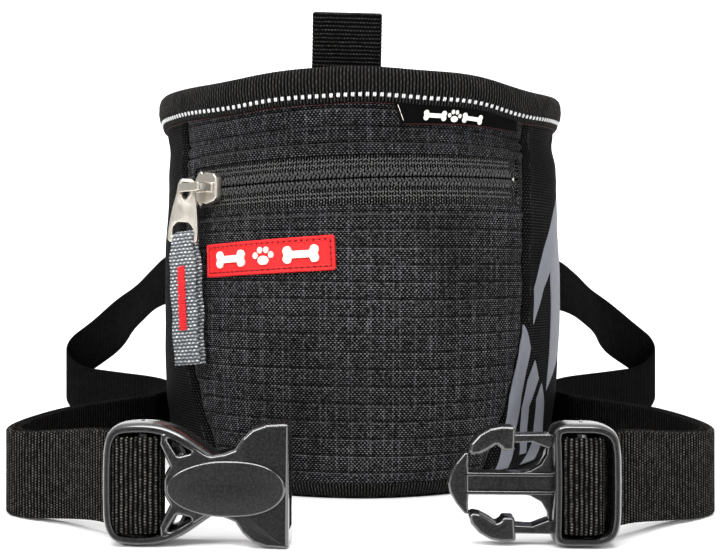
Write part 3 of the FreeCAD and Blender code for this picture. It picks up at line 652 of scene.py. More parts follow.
CLOTH_THICKNESS = 1.2


def wall_radius(z):
    """Radius of the outer cloth at a height, smoothly through the outline."""
    radii, heights = WALL_OUTLINE.T
    slopes = np.gradient(radii, heights)
    k = np.clip(np.searchsorted(heights, z) - 1, 0, len(heights) - 2)
    span = heights[k + 1] - heights[k]
    f = np.clip((z - heights[k]) / span, 0, 1)
    rise = smooth_step(f)
    ease = slopes[k] * f * (1 - f) ** 2 - slopes[k + 1] * f * f * (1 - f)
    return radii[k] * (1 - rise) + radii[k + 1] * rise + ease * span


def plan(t, z, h):
    """Point of the plan: half-round front, straight sides, rounded corners, flat back."""
    t, z, h = np.broadcast_arrays(*(np.asarray(v, float) for v in (t, z, h)))
    radius, way, far = wall_radius(z), np.sign(t), np.abs(t)
    z = z + settle(t, z)
    angle = np.clip(far, 0, FRONT_ARC) / MID_RADIUS
    side = np.clip(far - FRONT_ARC, 0, SIDE_RUN)
    turn = np.clip(far - FRONT_ARC - SIDE_RUN, 0, CORNER_ARC) / CORNER_RADIUS
    back = np.maximum(far - CORNER_END, 0) / HALF_BACK
    front_x = (radius + h) * np.sin(angle)
    front_y = -(radius + h) * np.cos(angle)
    corner_x = (radius - CORNER_RADIUS) * (1 - back) + (CORNER_RADIUS + h) * np.cos(turn)
    corner_y = SIDE_RUN + (CORNER_RADIUS + h) * np.sin(turn)
    on_front = far <= FRONT_ARC
    on_side = far <= FRONT_ARC + SIDE_RUN
    x = np.where(on_front, front_x, np.where(on_side, radius + h, corner_x))
    y = np.where(on_front, front_y, np.where(on_side, side, corner_y))
    return np.stack([way * x, y, z], -1)


def settle(t, z):
    """How the soft pouch hangs: the zip line rises to the right, and the rim droops in three places."""
    far = np.clip((CORNER_END - np.abs(t)) / 40, 0, 1)
    tilt = ZIP_SLOPE * MID_RADIUS * np.sin(np.clip(t / MID_RADIUS, -1.5, 1.5)) * far
    droop = hump(t + 50, 2.3, 28) + hump(t - 66, 2.9, 26) + hump(t - 20, 0.9, 16)
    return hump(z - ZIP_LINE, tilt, 15) - droop * smooth_step((z - 104) / 26)


def fullness(t, z):
    """Unevenness of the filled cloth, outwards only: nothing at the rim, foot and back."""
    rise = np.clip((z - 4) / 22, 0, 1) * np.clip((119 - z) / 16, 0, 1)
    broad = np.sin(t / 15 + 1.4 * np.sin(z / 26)) * np.sin(z / 12 + t / 60 + 0.8)
    fine = np.sin(t / 6.3 + z / 8.0) * np.sin(z / 5.1 - t / 19.0)
    right = hump(t - FRONT_ARC + 6, 1.9, 26)
    left = hump(t + FRONT_ARC - 6, 1.0, 26)
    near_back = np.clip((HALF_GIRTH - 40 - np.abs(t)) / 30, 0, 1)
    under_rim = hump(z - 113.5, 1.0, 9.5) * np.clip((126 - z) / 4, 0, 1)
    sides = rise * (right + 0.5 * left) + under_rim * (right + 1.5 * left)
    return rise * near_back * (0.5 + 0.32 * broad + 0.1 * fine) + sides


def on_wall(t, z, h):
    """Place on or off the outer cloth, following its unevenness."""
    return plan(t, z, h + fullness(t, z))


def around(x, z, h=0.0):
    """Distance round the front for a sideways half-width x at a height."""
    return MID_RADIUS * np.arcsin(np.clip(x / (wall_radius(np.asarray(z, float)) + h), -1, 1))


def wall_sheet(name, t, z, lift, thickness, place, closed=False):
    """Cloth over a grid of places, lifted off the wall; closed if it runs right round."""
    points = place(t, z, lift(t, z) if callable(lift) else lift)
    uvs = np.stack([t, z], -1).reshape(-1, 2) * MM
    faces = grid_faces(*z.shape, loop_cols=closed)
    return solidify(new_object(name, points.reshape(-1, 3) * MM, faces, uvs), thickness * MM)


def cloth(name, t_low, t_high, z_rows, columns, h, thickness=CLOTH_THICKNESS, place=on_wall):
    """Cloth between two edges given at each height; h may depend on (t, z, fraction across)."""
    fraction = np.linspace(0, 1, columns)[None, :]
    z = np.asarray(z_rows, float)[:, None] + 0 * fraction
    t = (1 - fraction) * np.asarray(t_low)[..., None] + fraction * np.asarray(t_high)[..., None]
    t = np.broadcast_to(t, z.shape)
    lift = h(t, z, fraction) if callable(h) else h
    return wall_sheet(name, t, z, lift, thickness, place)


def capsules(name, starts, ends, radius, outward=(0.0, -1.0, 0.0), flatten=1.0):
    """Many short rounded strands, in millimetres, each from a start to an end."""
    starts, ends = np.asarray(starts, float), np.asarray(ends, float)
    outward = np.broadcast_to(np.asarray(outward, float), starts.shape)
    direction = unit(ends - starts)
    side = unit(np.cross(direction, outward))
    up = np.cross(side, direction)
    rings = [(-0.06, 0.25), (0.04, 0.7), (0.2, 0.95), (0.5, 1.0), (0.8, 0.95), (0.96, 0.7), (1.06, 0.25)]
    around_ring = 8
    verts = []
    for fraction, size in rings:
        centre = starts + (ends - starts) * fraction
        for angle in np.linspace(0, 2 * np.pi, around_ring, endpoint=False):
            reach = side * math.cos(angle) + up * (math.sin(angle) * flatten)
            verts.append(centre + reach * (radius * size))
    verts = np.stack(verts, 1)
    count, per = verts.shape[:2]
    tube = grid_faces(len(rings), around_ring, loop_cols=True)
    faces = (tube[None] + (np.arange(count) * per)[:, None, None]).reshape(-1, 4).tolist()
    for k in range(count):
        faces.append([k * per + j for j in range(around_ring)][::-1])
        faces.append([(k + 1) * per - around_ring + j for j in range(around_ring)])
    mesh = bpy.data.meshes.new(name)
    mesh.from_pydata((verts.reshape(-1, 3) * MM).tolist(), [], faces)
    shade_smooth(mesh)
    return link_object(name, mesh)


def wall_outward(t):
    """Outward direction at a distance round the front or sides."""
    angle = np.clip(np.asarray(t, float) / MID_RADIUS, -math.pi / 2, math.pi / 2)
    return np.stack([np.sin(angle), -np.cos(angle), 0 * angle], -1)


def stitch_row(name, t, z, pitch, length, radius, h, slant=0.0):
    """A row of stitches along a line on the wall, given as points (t, z)."""
    travelled = distance_along(np.stack([t, z], 1))
    first = np.arange(0, travelled[-1] - length, pitch)
    starts_t = np.interp(first, travelled, t)
    starts = on_wall(starts_t, np.interp(first, travelled, z), h)
    ends_t = np.interp(first + length, travelled, t)
    ends = on_wall(ends_t, np.interp(first + length, travelled, z) + slant, h)
    return capsules(name, starts, ends, radius, wall_outward(starts_t))


# ---- pouch cloth -----------------------------------------------------------------------


SIDE_WIDTH = 60.0
BACK_WIDTH = 116.0


def seam_around(z, side=1):
    """How far round the front panel's side seams run, drawn in towards the foot."""
    z = np.asarray(z, float)
    half_width = np.interp(z, [0, 15, 26, 38, 50, 62, 200], [40.6, 46.2, 50.2, 53.5, 56.2, 57.4, 57.4])
    return around(half_width - 0.8 * side, z)


def edge_distance(fraction, width):
    """Distance to the nearer side edge of a panel."""
    return np.minimum(fraction, 1 - fraction) * width


def front_relief(t, z, fraction):
    """Front panel: turned-in side edges, and its upper edge tucked under the zip tape."""
    edge = edge_distance(fraction, 2 * seam_around(z))
    pucker = 0.18 * np.sin(z / 1.7 + 2 * np.sin(z / 7.0)) * np.exp(-edge / 5.0)
    under_zip = hump(z - 93.2, -0.7, 1.0) + hump(z - 90.2, 0.35, 1.2) + hump(z - 88.2, -0.4, 0.7)
    return hump(edge, -0.9, 1.1) + pucker + under_zip


def beside_zip_relief(t, z, fraction):
    """The front panel's strips beside the zip, turned in at the side seams."""
    return hump(seam_around(z, np.sign(t)) - np.abs(t), -0.9, 1.1)


def yoke_relief(t, z, fraction):
    """Yoke: lower edge turned under above the zip, and a tuck below the rim."""
    edge = edge_distance(fraction, 2 * seam_around(z))
    wander = 0.5 * np.sin(t / 9.0) + 0.3 * np.sin(t / 4.1)
    tuck = hump(z - 116.2 - wander, -0.8, 0.7) + hump(z - 114.3 - wander, 0.4, 1.0)
    ridge = hump(z - 110.2, 0.45, 1.0) + hump(z - 112.2 - wander * 0.6, -0.5, 0.6)
    pucker = np.sin(t / 2.3 + 1.5 * np.sin(t / 6.0)) * hump(z - 121.5, 0.3, 2.5)
    return hump(edge, -0.8, 1.1) + tuck + ridge + pucker


def seam_ridge(edge, z):
    """Puckered ridge of a turned seam and its stitched valley, at a distance from the seam."""
    pucker = 0.15 * np.sin(z / 1.9 + 2 * np.sin(z / 9.0)) * np.exp(-edge / 4.0)
    return hump(edge, -0.7, 0.8) + hump(edge - 2.2, 0.35, 1.3) + pucker


def side_relief(t, z, fraction):
    """Side panel: the turned seam at the front, and gathers below the rim."""
    edge = (fraction if np.mean(t) > 0 else 1 - fraction) * SIDE_WIDTH
    gathers = np.sin(t / 3.1 + np.sin(t / 8.0)) * hump(z - 120.0, 0.25, 3.0)
    return seam_ridge(edge, z) + gathers


def back_relief(t, z, fraction):
    """Back panel: turned-in side edges, and a shallow wave away from them."""
    edge = edge_distance(fraction, BACK_WIDTH)
    return hump(edge, -0.7, 0.9) - 0.25 * (1 - np.cos(z / 9.0)) * (np.minimum(edge, 12) / 12)


def front_panels():
    """Front panel below and beside the zip, and the yoke above it."""
    rows = np.linspace(FOOT, ZIP_LOW, 160)
    lower = cloth("front_lower", -seam_around(rows, -1), seam_around(rows), rows, 190, front_relief)
    rows = np.linspace(ZIP_LOW, ZIP_HIGH, 24)
    inner = around(ZIP_HALF_WIDTH + 0.1, rows)
    left = cloth("front_beside", -seam_around(rows, -1), -inner, rows, 8, beside_zip_relief)
    right = cloth("front_beside", inner, seam_around(rows), rows, 8, beside_zip_relief)
    panel = join("front_panel_cloth", [lower, left, right])
    dress(panel, RIPSTOP, nodes=["front_panel"])
    rows = np.linspace(ZIP_HIGH + 0.1, CLOTH_TOP, 80)
    yoke = cloth("front_yoke_cloth", -seam_around(rows, -1), seam_around(rows), rows, 190, yoke_relief)
    dress(yoke, RIPSTOP, nodes=["front_yoke"])


def side_and_back_panels():
    """Plain sides from the front seams round the rear corners, and the flat back."""
    rows = np.linspace(FOOT, CLOTH_TOP, 200)
    behind = np.full(rows.shape, CORNER_END + 0.9)
    right = cloth("right_side_cloth", seam_around(rows), behind, rows, 120, side_relief)
    left = cloth("left_side_cloth", -behind, -seam_around(rows, -1), rows, 120, side_relief)
    start = np.full(rows.shape, CORNER_END + 1.1)
    back = cloth("back_cloth", start, start + 2 * HALF_BACK - 2.2, rows, 60, back_relief)
    for panel, node in ((right, "right_side_panel"), (left, "left_side_panel"), (back, "back_panel")):
        dress(panel, SIDE_CLOTH, nodes=[node])


def ring(name, z_rows, lift, thickness, columns=460):
    """A layer right round the pouch."""
    t = np.linspace(-HALF_GIRTH, HALF_GIRTH, columns, endpoint=False)[None, :]
    z = np.asarray(z_rows, float)[:, None] + 0 * t
    return wall_sheet(name, t + 0 * z, z, lift, thickness, plan, closed=True)


def plate_in_plan(name, z, h, thickness, dome=0.0):
    """A floor layer that fills the pouch's plan."""
    t = np.linspace(-HALF_GIRTH, HALF_GIRTH, 300, endpoint=False)[None, :]
    shrink = np.linspace(1.0, 0.0, 40)[:-1, None]
    points = plan(t + 0 * shrink, z, h)
    middle = np.array([0.0, -10.0, z])
    points = middle + (points - middle) * shrink[..., None]
    points[..., 2] = z + dome * (1 - (shrink + 0 * t) ** 2)
    rows, columns = points.shape[:2]
    verts = points.reshape(-1, 3)
    obj = new_object(name, verts * MM, grid_faces(rows, columns, loop_cols=True), verts[:, :2] * MM)
    close_ends(obj, [range((rows - 1) * columns, rows * columns)])
    return solidify(obj, thickness * MM)


def lining_sag(t, z):
    """The lining hangs clear of the cloth, and bellies further in between its hems."""
    free = np.clip(np.minimum(z - 3, 124 - z) / 20, 0, 1)
    return -2.0 - 0.5 * (1 + np.sin(t / 11 + z / 23) * np.sin(z / 14)) * free


def pouch_inside():
    """Lining with its floor, the bag of the zipped pocket and the rim's spring strip."""
    walls = ring("lining_wall", np.linspace(2.2, CLOTH_TOP, 70), lining_sag, 0.8, columns=300)
    floor = plate_in_plan("lining_floor", 2.6, -2.3, 0.8, dome=0.8)
    dress(join("lining_cloth", [walls, floor]), LINING_CLOTH, nodes=["lining"])
    rows = np.linspace(20.0, 112.5, 20)
    edge = around(50.0, rows)
    pocket = cloth("pocket_bag_cloth", -edge, edge, rows, 80, -1.35, 0.5, place=plan)
    dress(pocket, LINING_CLOTH, nodes=["pocket_bag"])
    hoop = ring("rim_spring_strip", np.linspace(125.5, 133.5, 6), -1.35, 0.5)
    dress(hoop, SPRING_STEEL, nodes=["rim_stiffener"])


BASE_TAPE_LOW, BASE_TAPE_HIGH = 0.4, 5.0


def base_tape_crown(t, z):
    """The tape round the foot is fullest at its mid-height."""
    up = (z - BASE_TAPE_LOW) / (BASE_TAPE_HIGH - BASE_TAPE_LOW)
    return 0.35 + 0.55 * np.sin(up * math.pi) ** 0.6


def pouch_base():
    """Bottom disc, and the ribbed tape bound round its seam."""
    base = plate_in_plan("base_cloth", 1.4, 0.0, 1.4)
    dress(base, SIDE_CLOTH, nodes=["base_panel"])
    rows = np.linspace(BASE_TAPE_LOW, BASE_TAPE_HIGH, 16)
    tape = ring("base_tape", rows, base_tape_crown, 0.6, columns=900)
    dress(tape, GROSGRAIN, nodes=["base_binding"])


front_panels()
side_and_back_panels()
pouch_inside()
pouch_base()

# ---- rim -------------------------------------------------------------------------------


def rim_wander(t):
    """How the hand-guided rim tape rises and falls."""
    return 0.25 * np.sin(t / 13.0) + 0.15 * np.sin(t / 5.3)


def rim_binding():
    """Ribbed tape folded over the rim, its ribs upright, with one pressed channel for the stitches."""
    ribs = int(round(2 * HALF_GIRTH / RIM_RIB))
    t = np.linspace(-HALF_GIRTH, HALF_GIRTH, ribs * 5, endpoint=False)
    section = [
        (0.15, RIM_LOW), (0.9, RIM_LOW), (1.15, RIM_LOW + 0.6), (0.95, RIM_LOW + 1.4),
        (0.9, RIM_LOW + 2.1), (0.95, RIM_LOW + 2.9), (1.3, RIM_LOW + 3.6), (1.4, RIM_LOW + 6.0),
        (1.3, RIM_LOW + 8.5), (0.95, RIM_HIGH - 1.2), (0.2, RIM_HIGH - 0.35), (-1.0, RIM_HIGH),
        (-2.6, RIM_HIGH - 0.1), (-3.6, RIM_HIGH - 0.9), (-4.1, RIM_HIGH - 2.2), (-4.15, RIM_LOW + 4.0),
        (-4.0, RIM_LOW), (-3.0, RIM_LOW), (-3.0, RIM_HIGH - 1.6), (-0.6, RIM_HIGH - 1.5),
        (0.0, RIM_HIGH - 2.4),
    ]
    last_ribbed = 15
    crest = 0.13 * np.cos(2 * np.pi * np.arange(len(t)) / 5)
    walked = distance_along(np.array(section))
    verts, uvs = [], []
    for k, (h, z) in enumerate(section):
        lift = h + (crest if 0 < k <= last_ribbed else 0)
        follows = 1 if z < RIM_HIGH - 3 and h > 0 else 0.5
        verts.append(plan(t, np.clip(z + rim_wander(t) * follows, 0, 136.6), lift))
        uvs.append(np.stack([t, np.full_like(t, walked[k])], 1))
    faces = grid_faces(len(section), len(t), loop_rows=True, loop_cols=True)
    uv = np.concatenate(uvs) * MM
    obj = new_object("rim_binding_tape", np.concatenate(verts) * MM, faces, uv)
    dress(obj, GROSGRAIN, nodes=["rim_binding"])


def rim_stitches():
    """Reflective thread: two-lobed square stitches, evenly round the binding."""
    pitch = 2.2
    t = np.arange(-HALF_GIRTH, HALF_GIRTH - pitch / 2, pitch)
    level = RIM_LOW + rim_wander(t)
    starts, ends = [], []
    for lobe in (-0.26, 0.26):
        starts.append(plan(t + lobe, level + 1.5, 1.05))
        ends.append(plan(t + lobe + 0.08, level + 2.65, 1.05))
    outward = np.tile(wall_outward(t), (2, 1))
    obj = capsules("rim_stitches", np.concatenate(starts), np.concatenate(ends), 0.29, outward, 0.9)
    dress(obj, REFLECTIVE, nodes=["rim_reflective_thread"])


def rim_edge_thread():
    """Dull red marker thread along the binding's lower edge."""
    t = np.linspace(-FRONT_ARC, FRONT_ARC, 900)
    obj = stitch_row("rim_edge_thread", t, RIM_LOW - 0.25 + rim_wander(t), 2.0, 1.7, 0.16, 0.25)
    dress(obj, DARK_RED_THREAD)


def folded_line(z_low, z_high, y_front, y_back, step):
    """Up the front layer, over a round fold and down the back layer, in millimetres."""
    radius = (y_back - y_front) / 2
    middle = (y_back + y_front) / 2
    angles = np.linspace(math.pi, 0, 14)
    turn = [(middle + radius * math.cos(a), z_high - radius + radius * math.sin(a)) for a in angles]
    route = [(y_front, z_low)] + turn + [(y_back, z_low)]
    points = np.array([(0.0, y, z) for y, z in route])
    return even_line(points, step)[0]


def front_tab():
    """Webbing tab that stands up behind the front of the rim."""
    line = folded_line(125.5, 153.4, -67.0, -65.2, TAB_RIB / 5)
    line[:, 0] = -2.0 + 0.02 * (line[:, 2] - 136)
    line[:, 1] += 0.5 * np.sin((line[:, 2] - 126) / 9.0)
    across = unit(np.tile([[1.0, 0.0, -0.035]], (len(line), 1)))
    obj = webbing_mesh("front_tab_webbing", line * MM, across, 22 * MM, 1.5 * MM, TAB_RIB * MM, 0.24 * MM)
    dress(obj, TAB_WEBBING, nodes=["front_tab"])


rim_binding()
rim_stitches()
rim_edge_thread()
front_tab()

# ---- zip -------------------------------------------------------------------------------


def zip_chain():
    """Woven tapes either side of a closed reverse coil, and the coil's slanted turns."""
    for name, low, high, node in (
        ("zip_lower_tape_cloth", ZIP_LOW, ZIP_LINE - 0.25, "zip_lower_tape"),
        ("zip_upper_tape_cloth", ZIP_LINE + 0.25, ZIP_HIGH, "zip_upper_tape"),
    ):
        rows = np.linspace(low, high, 50)
        edge = around(ZIP_HALF_WIDTH, rows)
        tape = cloth(name, -edge, edge, rows, 190, tape_relief, 0.7)
        dress(tape, ZIP_TAPE, nodes=[node])
    coil_turns()
    tape_knots()
    zip_stops()


def tape_relief(t, z, fraction):
    """The tape swells over the coil and is knitted in ridges outside it."""
    away = np.abs(z - ZIP_LINE)
    knit = 0.16 * np.sin(away * 2 * math.pi / 1.15) * (away > 2.6)
    return -0.75 + hump(away - 1.7, 0.75, 1.5) + knit


CHAIN_HALF = around(52.2, ZIP_LINE) - 1.0


def coil_turns():
    """Herringbone of turns seen through the tape: slanted strands for each turn, on both sides."""
    t = np.arange(-CHAIN_HALF, CHAIN_HALF, 1.35)
    starts, ends = [], []
    for side in (-1, 1):
        for near, far, lean, lift in ((0.35, 1.55, 0.75, 0.05), (1.55, 2.9, -0.65, -0.12)):
            starts.append(on_wall(t, ZIP_LINE + side * near, lift))
            ends.append(on_wall(t + lean, ZIP_LINE + side * far, lift))
    outward = np.tile(wall_outward(t), (4, 1))
    turns = capsules("zip_coil_turns", np.concatenate(starts), np.concatenate(ends), 0.36, outward)
    dress(turns, COIL_NYLON, nodes=["zip_coils"])


def tape_knots():
    """Two rows of slanted knots along each tape."""
    rows = []
    t = np.linspace(-CHAIN_HALF, CHAIN_HALF, 400)
    for away, pitch in ((4.2, 1.15), (5.6, 1.35)):
        for side in (-1, 1):
            level = np.full(t.shape, ZIP_LINE + side * away)
            rows.append(stitch_row("tape_knots", t, level, pitch, 0.7 * pitch, 0.22, -0.72, side * 0.5))
    dress(join("zip_tape_knots", rows), ZIP_KNOTS)


def zip_stops():
    """End stops: small metal staples across the coil."""
    for node, bearing in (("zip_left_stop", -47.5), ("zip_right_stop", 47.5)):
        t = np.array([math.radians(bearing) * MID_RADIUS])
        bottom = on_wall(t, ZIP_LINE - 1.3, -0.62)
        top = on_wall(t, ZIP_LINE + 1.3, -0.62)
        stop = capsules(node + "_staple", bottom, top, 0.55, wall_outward(t), flatten=0.6)
        dress(stop, NICKEL, nodes=[node])


# ---- flat hardware ---------------------------------------------------------------------


def plate(name, outline, holes=(), depth=(-0.7, 0.7), bevel=0.3):
    """Bevelled plate from an (x, z) outline and its holes, between two depths along Y, in mm."""
    data = bpy.data.curves.new(name, "CURVE")
    data.dimensions = "2D"
    data.fill_mode = "BOTH"
    data.extrude = (depth[1] - depth[0]) / 2 - bevel
    data.bevel_depth = bevel
    data.bevel_resolution = 3
    data.offset = -bevel
    for points in [outline, *holes]:
        spline = data.splines.new("POLY")
        spline.points.add(len(points) - 1)
        for point, (x, z) in zip(spline.points, points):
            point.co = (x, z, 0, 1)
        spline.use_cyclic_u = True
    curve = link_object(name, data)
    mesh = bpy.data.meshes.new_from_object(curve)
    bpy.data.objects.remove(curve)
    middle = (depth[0] + depth[1]) / 2
    stand_up = Matrix(((1, 0, 0, 0), (0, 0, -1, middle), (0, 1, 0, 0), (0, 0, 0, 1)))
    mesh.transform(stand_up)
    edit_mesh(mesh, weld)
    shade_smooth(mesh, sharp=38)
    mesh.name = name
    return link_object(name, mesh)


def weld(work):
    """Join the doubled edges that a converted curve has."""
    bmesh.ops.remove_doubles(work, verts=work.verts, dist=0.004)


def rounded(points, radius, steps=6):
    """An outline with its corners turned into arcs of a radius, as far as its sides allow."""
    made = []
    for k, here in enumerate(points):
        here = np.array(here, float)
        first = np.array(points[k - 1], float) - here
        second = np.array(points[(k + 1) % len(points)], float) - here
        a, b = np.linalg.norm(first), np.linalg.norm(second)
        half = math.acos(np.clip(first @ second / (a * b), -1, 1)) / 2
        reach = min(radius / max(math.tan(half), 1e-6), 0.48 * a, 0.48 * b)
        if reach < 0.02 or half > 1.52:
            made.append(tuple(here))
            continue
        start, finish = here + first / a * reach, here + second / b * reach
        for f in np.linspace(0, 1, steps):
            arc = (1 - f) ** 2 * start + 2 * f * (1 - f) * here + f * f * finish
            made.append(tuple(arc))
    return made


def both_sides(half):
    """An outline's right half and its mirror image, as one loop."""
    return half + [(-x, z) for x, z in reversed(half)]


def circle(x, z, radius, count=28, squash=1.0):
    """Outline of a circle, or of an oval if it is squashed or stretched upwards."""
    angles = np.linspace(0, 2 * math.pi, count, endpoint=False)
    return [(x + radius * math.cos(a), z + squash * radius * math.sin(a)) for a in angles]


def set_place(obj, matrix):
    """Put a piece made in millimetres at its place in the frame."""
    obj.data.transform(Matrix.Scale(MM, 4) @ matrix)
    return obj


def in_millimetres(obj):
    """Undo the metre scale of a piece that is still to be placed."""
    obj.data.transform(Matrix.Scale(1 / MM, 4))
    return obj


def wall_matrix(bearing, radius, z):
    """Local X to the right, -Y outwards, Z up, at a point on the front wall."""
    angle = math.radians(bearing)
    place = Vector((math.sin(angle) * radius, -math.cos(angle) * radius, z))
    return Matrix.Translation(place) @ Matrix.Rotation(angle, 4, "Z")


SLIDER_BEARING, SLIDER_RADIUS = -41.0, 72.0
SLIDER_RISE = SLIDER_RADIUS * math.sin(math.radians(SLIDER_BEARING)) * ZIP_SLOPE
SLIDER = wall_matrix(SLIDER_BEARING, SLIDER_RADIUS, ZIP_LINE + SLIDER_RISE)
PULL_BEARING = math.radians(-20.0)
PULL_SIDE = 1.9
PULL_LEAN = math.radians(5.0)
LOOP_LEAN = math.radians(-5.0)
BAIL_NOSE = Vector((-6.6, -7.4, 0.0))
PULL_BAR = -17.0
LOOP_FOOT = -41.1


def pull_matrix():
    """Frame of the pull at its pivot, leaning in its own plane."""
    beside = Matrix.Translation((PULL_SIDE, 0, 0)) @ Matrix.Rotation(PULL_LEAN, 4, "Y")
    return Matrix.Translation(SLIDER @ BAIL_NOSE) @ Matrix.Rotation(PULL_BEARING, 4, "Z") @ beside


def loop_matrix():
    """Frame of the webbing loop at the pull's foot bar."""
    bar = pull_matrix() @ Vector((0, 0, PULL_BAR))
    turn = Matrix.Rotation(PULL_BEARING, 4, "Z") @ Matrix.Rotation(LOOP_LEAN, 4, "Y")
    return Matrix.Translation(bar) @ turn


def metal_piece(name, parts, matrix, body, node):
    """Join metal parts made in millimetres, and put them in their place."""
    obj = set_place(join(name, parts), matrix)
    dress(obj, NICKEL, body=body, nodes=[node])


def zip_slider():
    """Shouldered slider body, a bridge of two posts and the square bail hooked to the left."""
    half, high = 5.75, 6.0
    shoulder = [
        (-half, 1.8), (-half + 2.2, high - 1.2), (-half + 3.6, high), (-half + 5.0, high - 1.3),
        (-half + 6.2, high - 0.7), (half - 1.0, high - 1.5), (half, high - 2.6),
    ]
    outline = shoulder + [(x, -z) for x, z in reversed(shoulder)]
    body = plate("body", rounded(outline, 0.9), depth=(-3.2, -0.35), bevel=0.45)
    rail_outline = [(-3.6, 1.3), (half - 0.8, 1.6), (half - 0.8, -1.6), (-3.6, -1.3)]
    rail = plate("rail", rounded(rail_outline, 0.5), depth=(-4.1, -3.0), bevel=0.35)
    arm_outline = [(-5.6, 1.4), (4.6, 1.4), (4.6, -1.4), (-5.6, -1.4)]
    bail_arm = plate("arm", rounded(arm_outline, 0.5), depth=(-9.4, -8.3), bevel=0.32)
    posts = [side_plate(x_low, x_high, -9.2, -3.2, 1.35) for x_low, x_high in ((3.3, 4.6), (-0.2, 1.0))]
    nose = side_plate(-5.6, -4.6, -9.2, -6.9, 1.2)
    metal_piece("slider_metal", [body, rail, bail_arm, nose] + posts, SLIDER, "slider", "zip_slider")


def side_plate(x_low, x_high, y_low, y_high, half):
    """A small upright wall of the bail."""
    outline = [(x_low, half), (x_high, half), (x_high, -half), (x_low, -half)]
    return plate("post", rounded(outline, 0.35), depth=(y_low, y_high), bevel=0.25)


def zip_pull():
    """Tapered pull with a rounded upper eye and a wide lower eye over the webbing's bar."""
    half_pull = [
        (2.2, 3.2), (3.1, 1.4), (3.5, -2.0), (4.6, -6.5), (5.3, -11.0), (5.7, -14.5), (5.7, -17.0),
        (4.9, -18.0),
    ]
    half_eye = [(1.5, 1.9), (2.1, 0.4), (1.8, -1.8), (0.5, -3.7)]
    half_rim = [(2.4, 2.8), (3.0, 0.4), (2.7, -2.2), (1.0, -4.8)]
    half_lower_eye = [(2.2, -11.2), (4.0, -13.2), (4.0, -16.4)]
    eye = rounded(both_sides(half_eye), 0.9)
    lower_eye = rounded(both_sides(half_lower_eye), 2.2)
    body = plate("pull", rounded(both_sides(half_pull), 1.8), [eye, lower_eye], bevel=0.42)
    rim = plate("eye_rim", rounded(both_sides(half_rim), 1.6), [eye], depth=(-0.95, 0.95))
    bar = in_millimetres(capsules("bar", [(-4.8, 0, PULL_BAR)], [(4.8, 0, PULL_BAR)], 0.7))
    metal_piece("pull_metal", [body, rim, bar], pull_matrix(), "pull", "zip_pull")


def loop_sway(z):
    """How far the hanging loop curves sideways."""
    return 0.9 * np.sin((z + 12) / 18.0)


def loop_webbing():
    """Grey webbing doubled round the pull's bar."""
    line = folded_line(LOOP_FOOT, 1.9, -1.05, 1.05, LOOP_RIB / 5)
    height = line[:, 2]
    width = np.interp(height, [LOOP_FOOT, -6.0, -3.0, 3.0], [9.4, 9.9, 8.4, 7.6])
    line[:, 0] = 0.22 * np.sin(height / 2.2) + loop_sway(height)
    line[:, 0] += 0.8 * np.clip((line[:, 1] + 1.05) / 2.1, 0, 1)
    line[:, 1] += 0.35 * np.sin(height / 5.0) - hump(height + 22, 0.5, 12) * (line[:, 1] < 0)
    across = np.tile([[1.0, 0.0, 0.0]], (len(line), 1))
    obj = webbing_mesh("loop_webbing", line * MM, across, width * MM, 1.75 * MM, LOOP_RIB * MM, 0.22 * MM)
    set_place(in_millimetres(obj), loop_matrix())
    dress(obj, GREY_WEBBING, body="pull_loop", nodes=["pull_webbing_loop"])


def loop_bartack():
    """Red zigzag bar of thread that closes the loop."""
    z = np.arange(-29.4, -9.0, 0.72)
    lean = 0.25 * np.sin(z * 1.7)
    middle = loop_sway(z) + 0.15 * lean
    on_top = np.full_like(z, -2.55)
    starts = np.stack([middle - 1.35, on_top, z - 0.2 + lean], 1)
    ends = np.stack([middle + 1.35, on_top, z + 0.2 - lean], 1)
    tack = set_place(in_millimetres(capsules("loop_bartack", starts, ends, 0.44)), loop_matrix())
    dress(tack, RED_THREAD, body="pull_loop", nodes=["pull_bartack"])


zip_chain()
zip_slider()
zip_pull()
loop_webbing()
loop_bartack()

# ---- badges ----------------------------------------------------------------------------


def wrap_on_wall(obj, t, z, tilt, h):
    """Lay a plate made about its own centre onto the front wall."""
    co = np.array([v.co for v in obj.data.vertices])
    turn = math.radians(tilt)
    x = co[:, 0] * math.cos(turn) - co[:, 2] * math.sin(turn)
    up = co[:, 0] * math.sin(turn) + co[:, 2] * math.cos(turn)
    placed = on_wall(t + x, z + up, h - co[:, 1]) * MM
    obj.data.vertices.foreach_set("co", placed.ravel())
    obj.data.update()
    return obj


def bone(x, z, half_length, knob, shaft):
    """Outline of a bone: two knobs at each end of a shaft."""
    quarter = []
    for angle in np.linspace(-40, 130, 9):
        turn = math.radians(angle)
        quarter.append((half_length + knob * math.cos(turn), knob * 0.85 + knob * math.sin(turn)))
    quarter.append((half_length - knob, shaft))
    top = both_sides(quarter)
    return [(x + a, z + b) for a, b in top + [(-a, -b) for a, b in top]]


def paw(x, z, size):
    """Outlines of a paw print: one broad pad and four toes."""
    pads = [circle(x, z - 0.25 * size, 0.42 * size, squash=0.8)]
    for toe_x, toe_z in ((-0.62, 0.12), (-0.24, 0.5), (0.24, 0.5), (0.62, 0.12)):
        pads.append(circle(x + toe_x * size, z + toe_z * size, 0.19 * size, 18, 1.25))
    return pads


PATCH_T, PATCH_Z, PATCH_TILT = -28.2, 76.5, 3.0


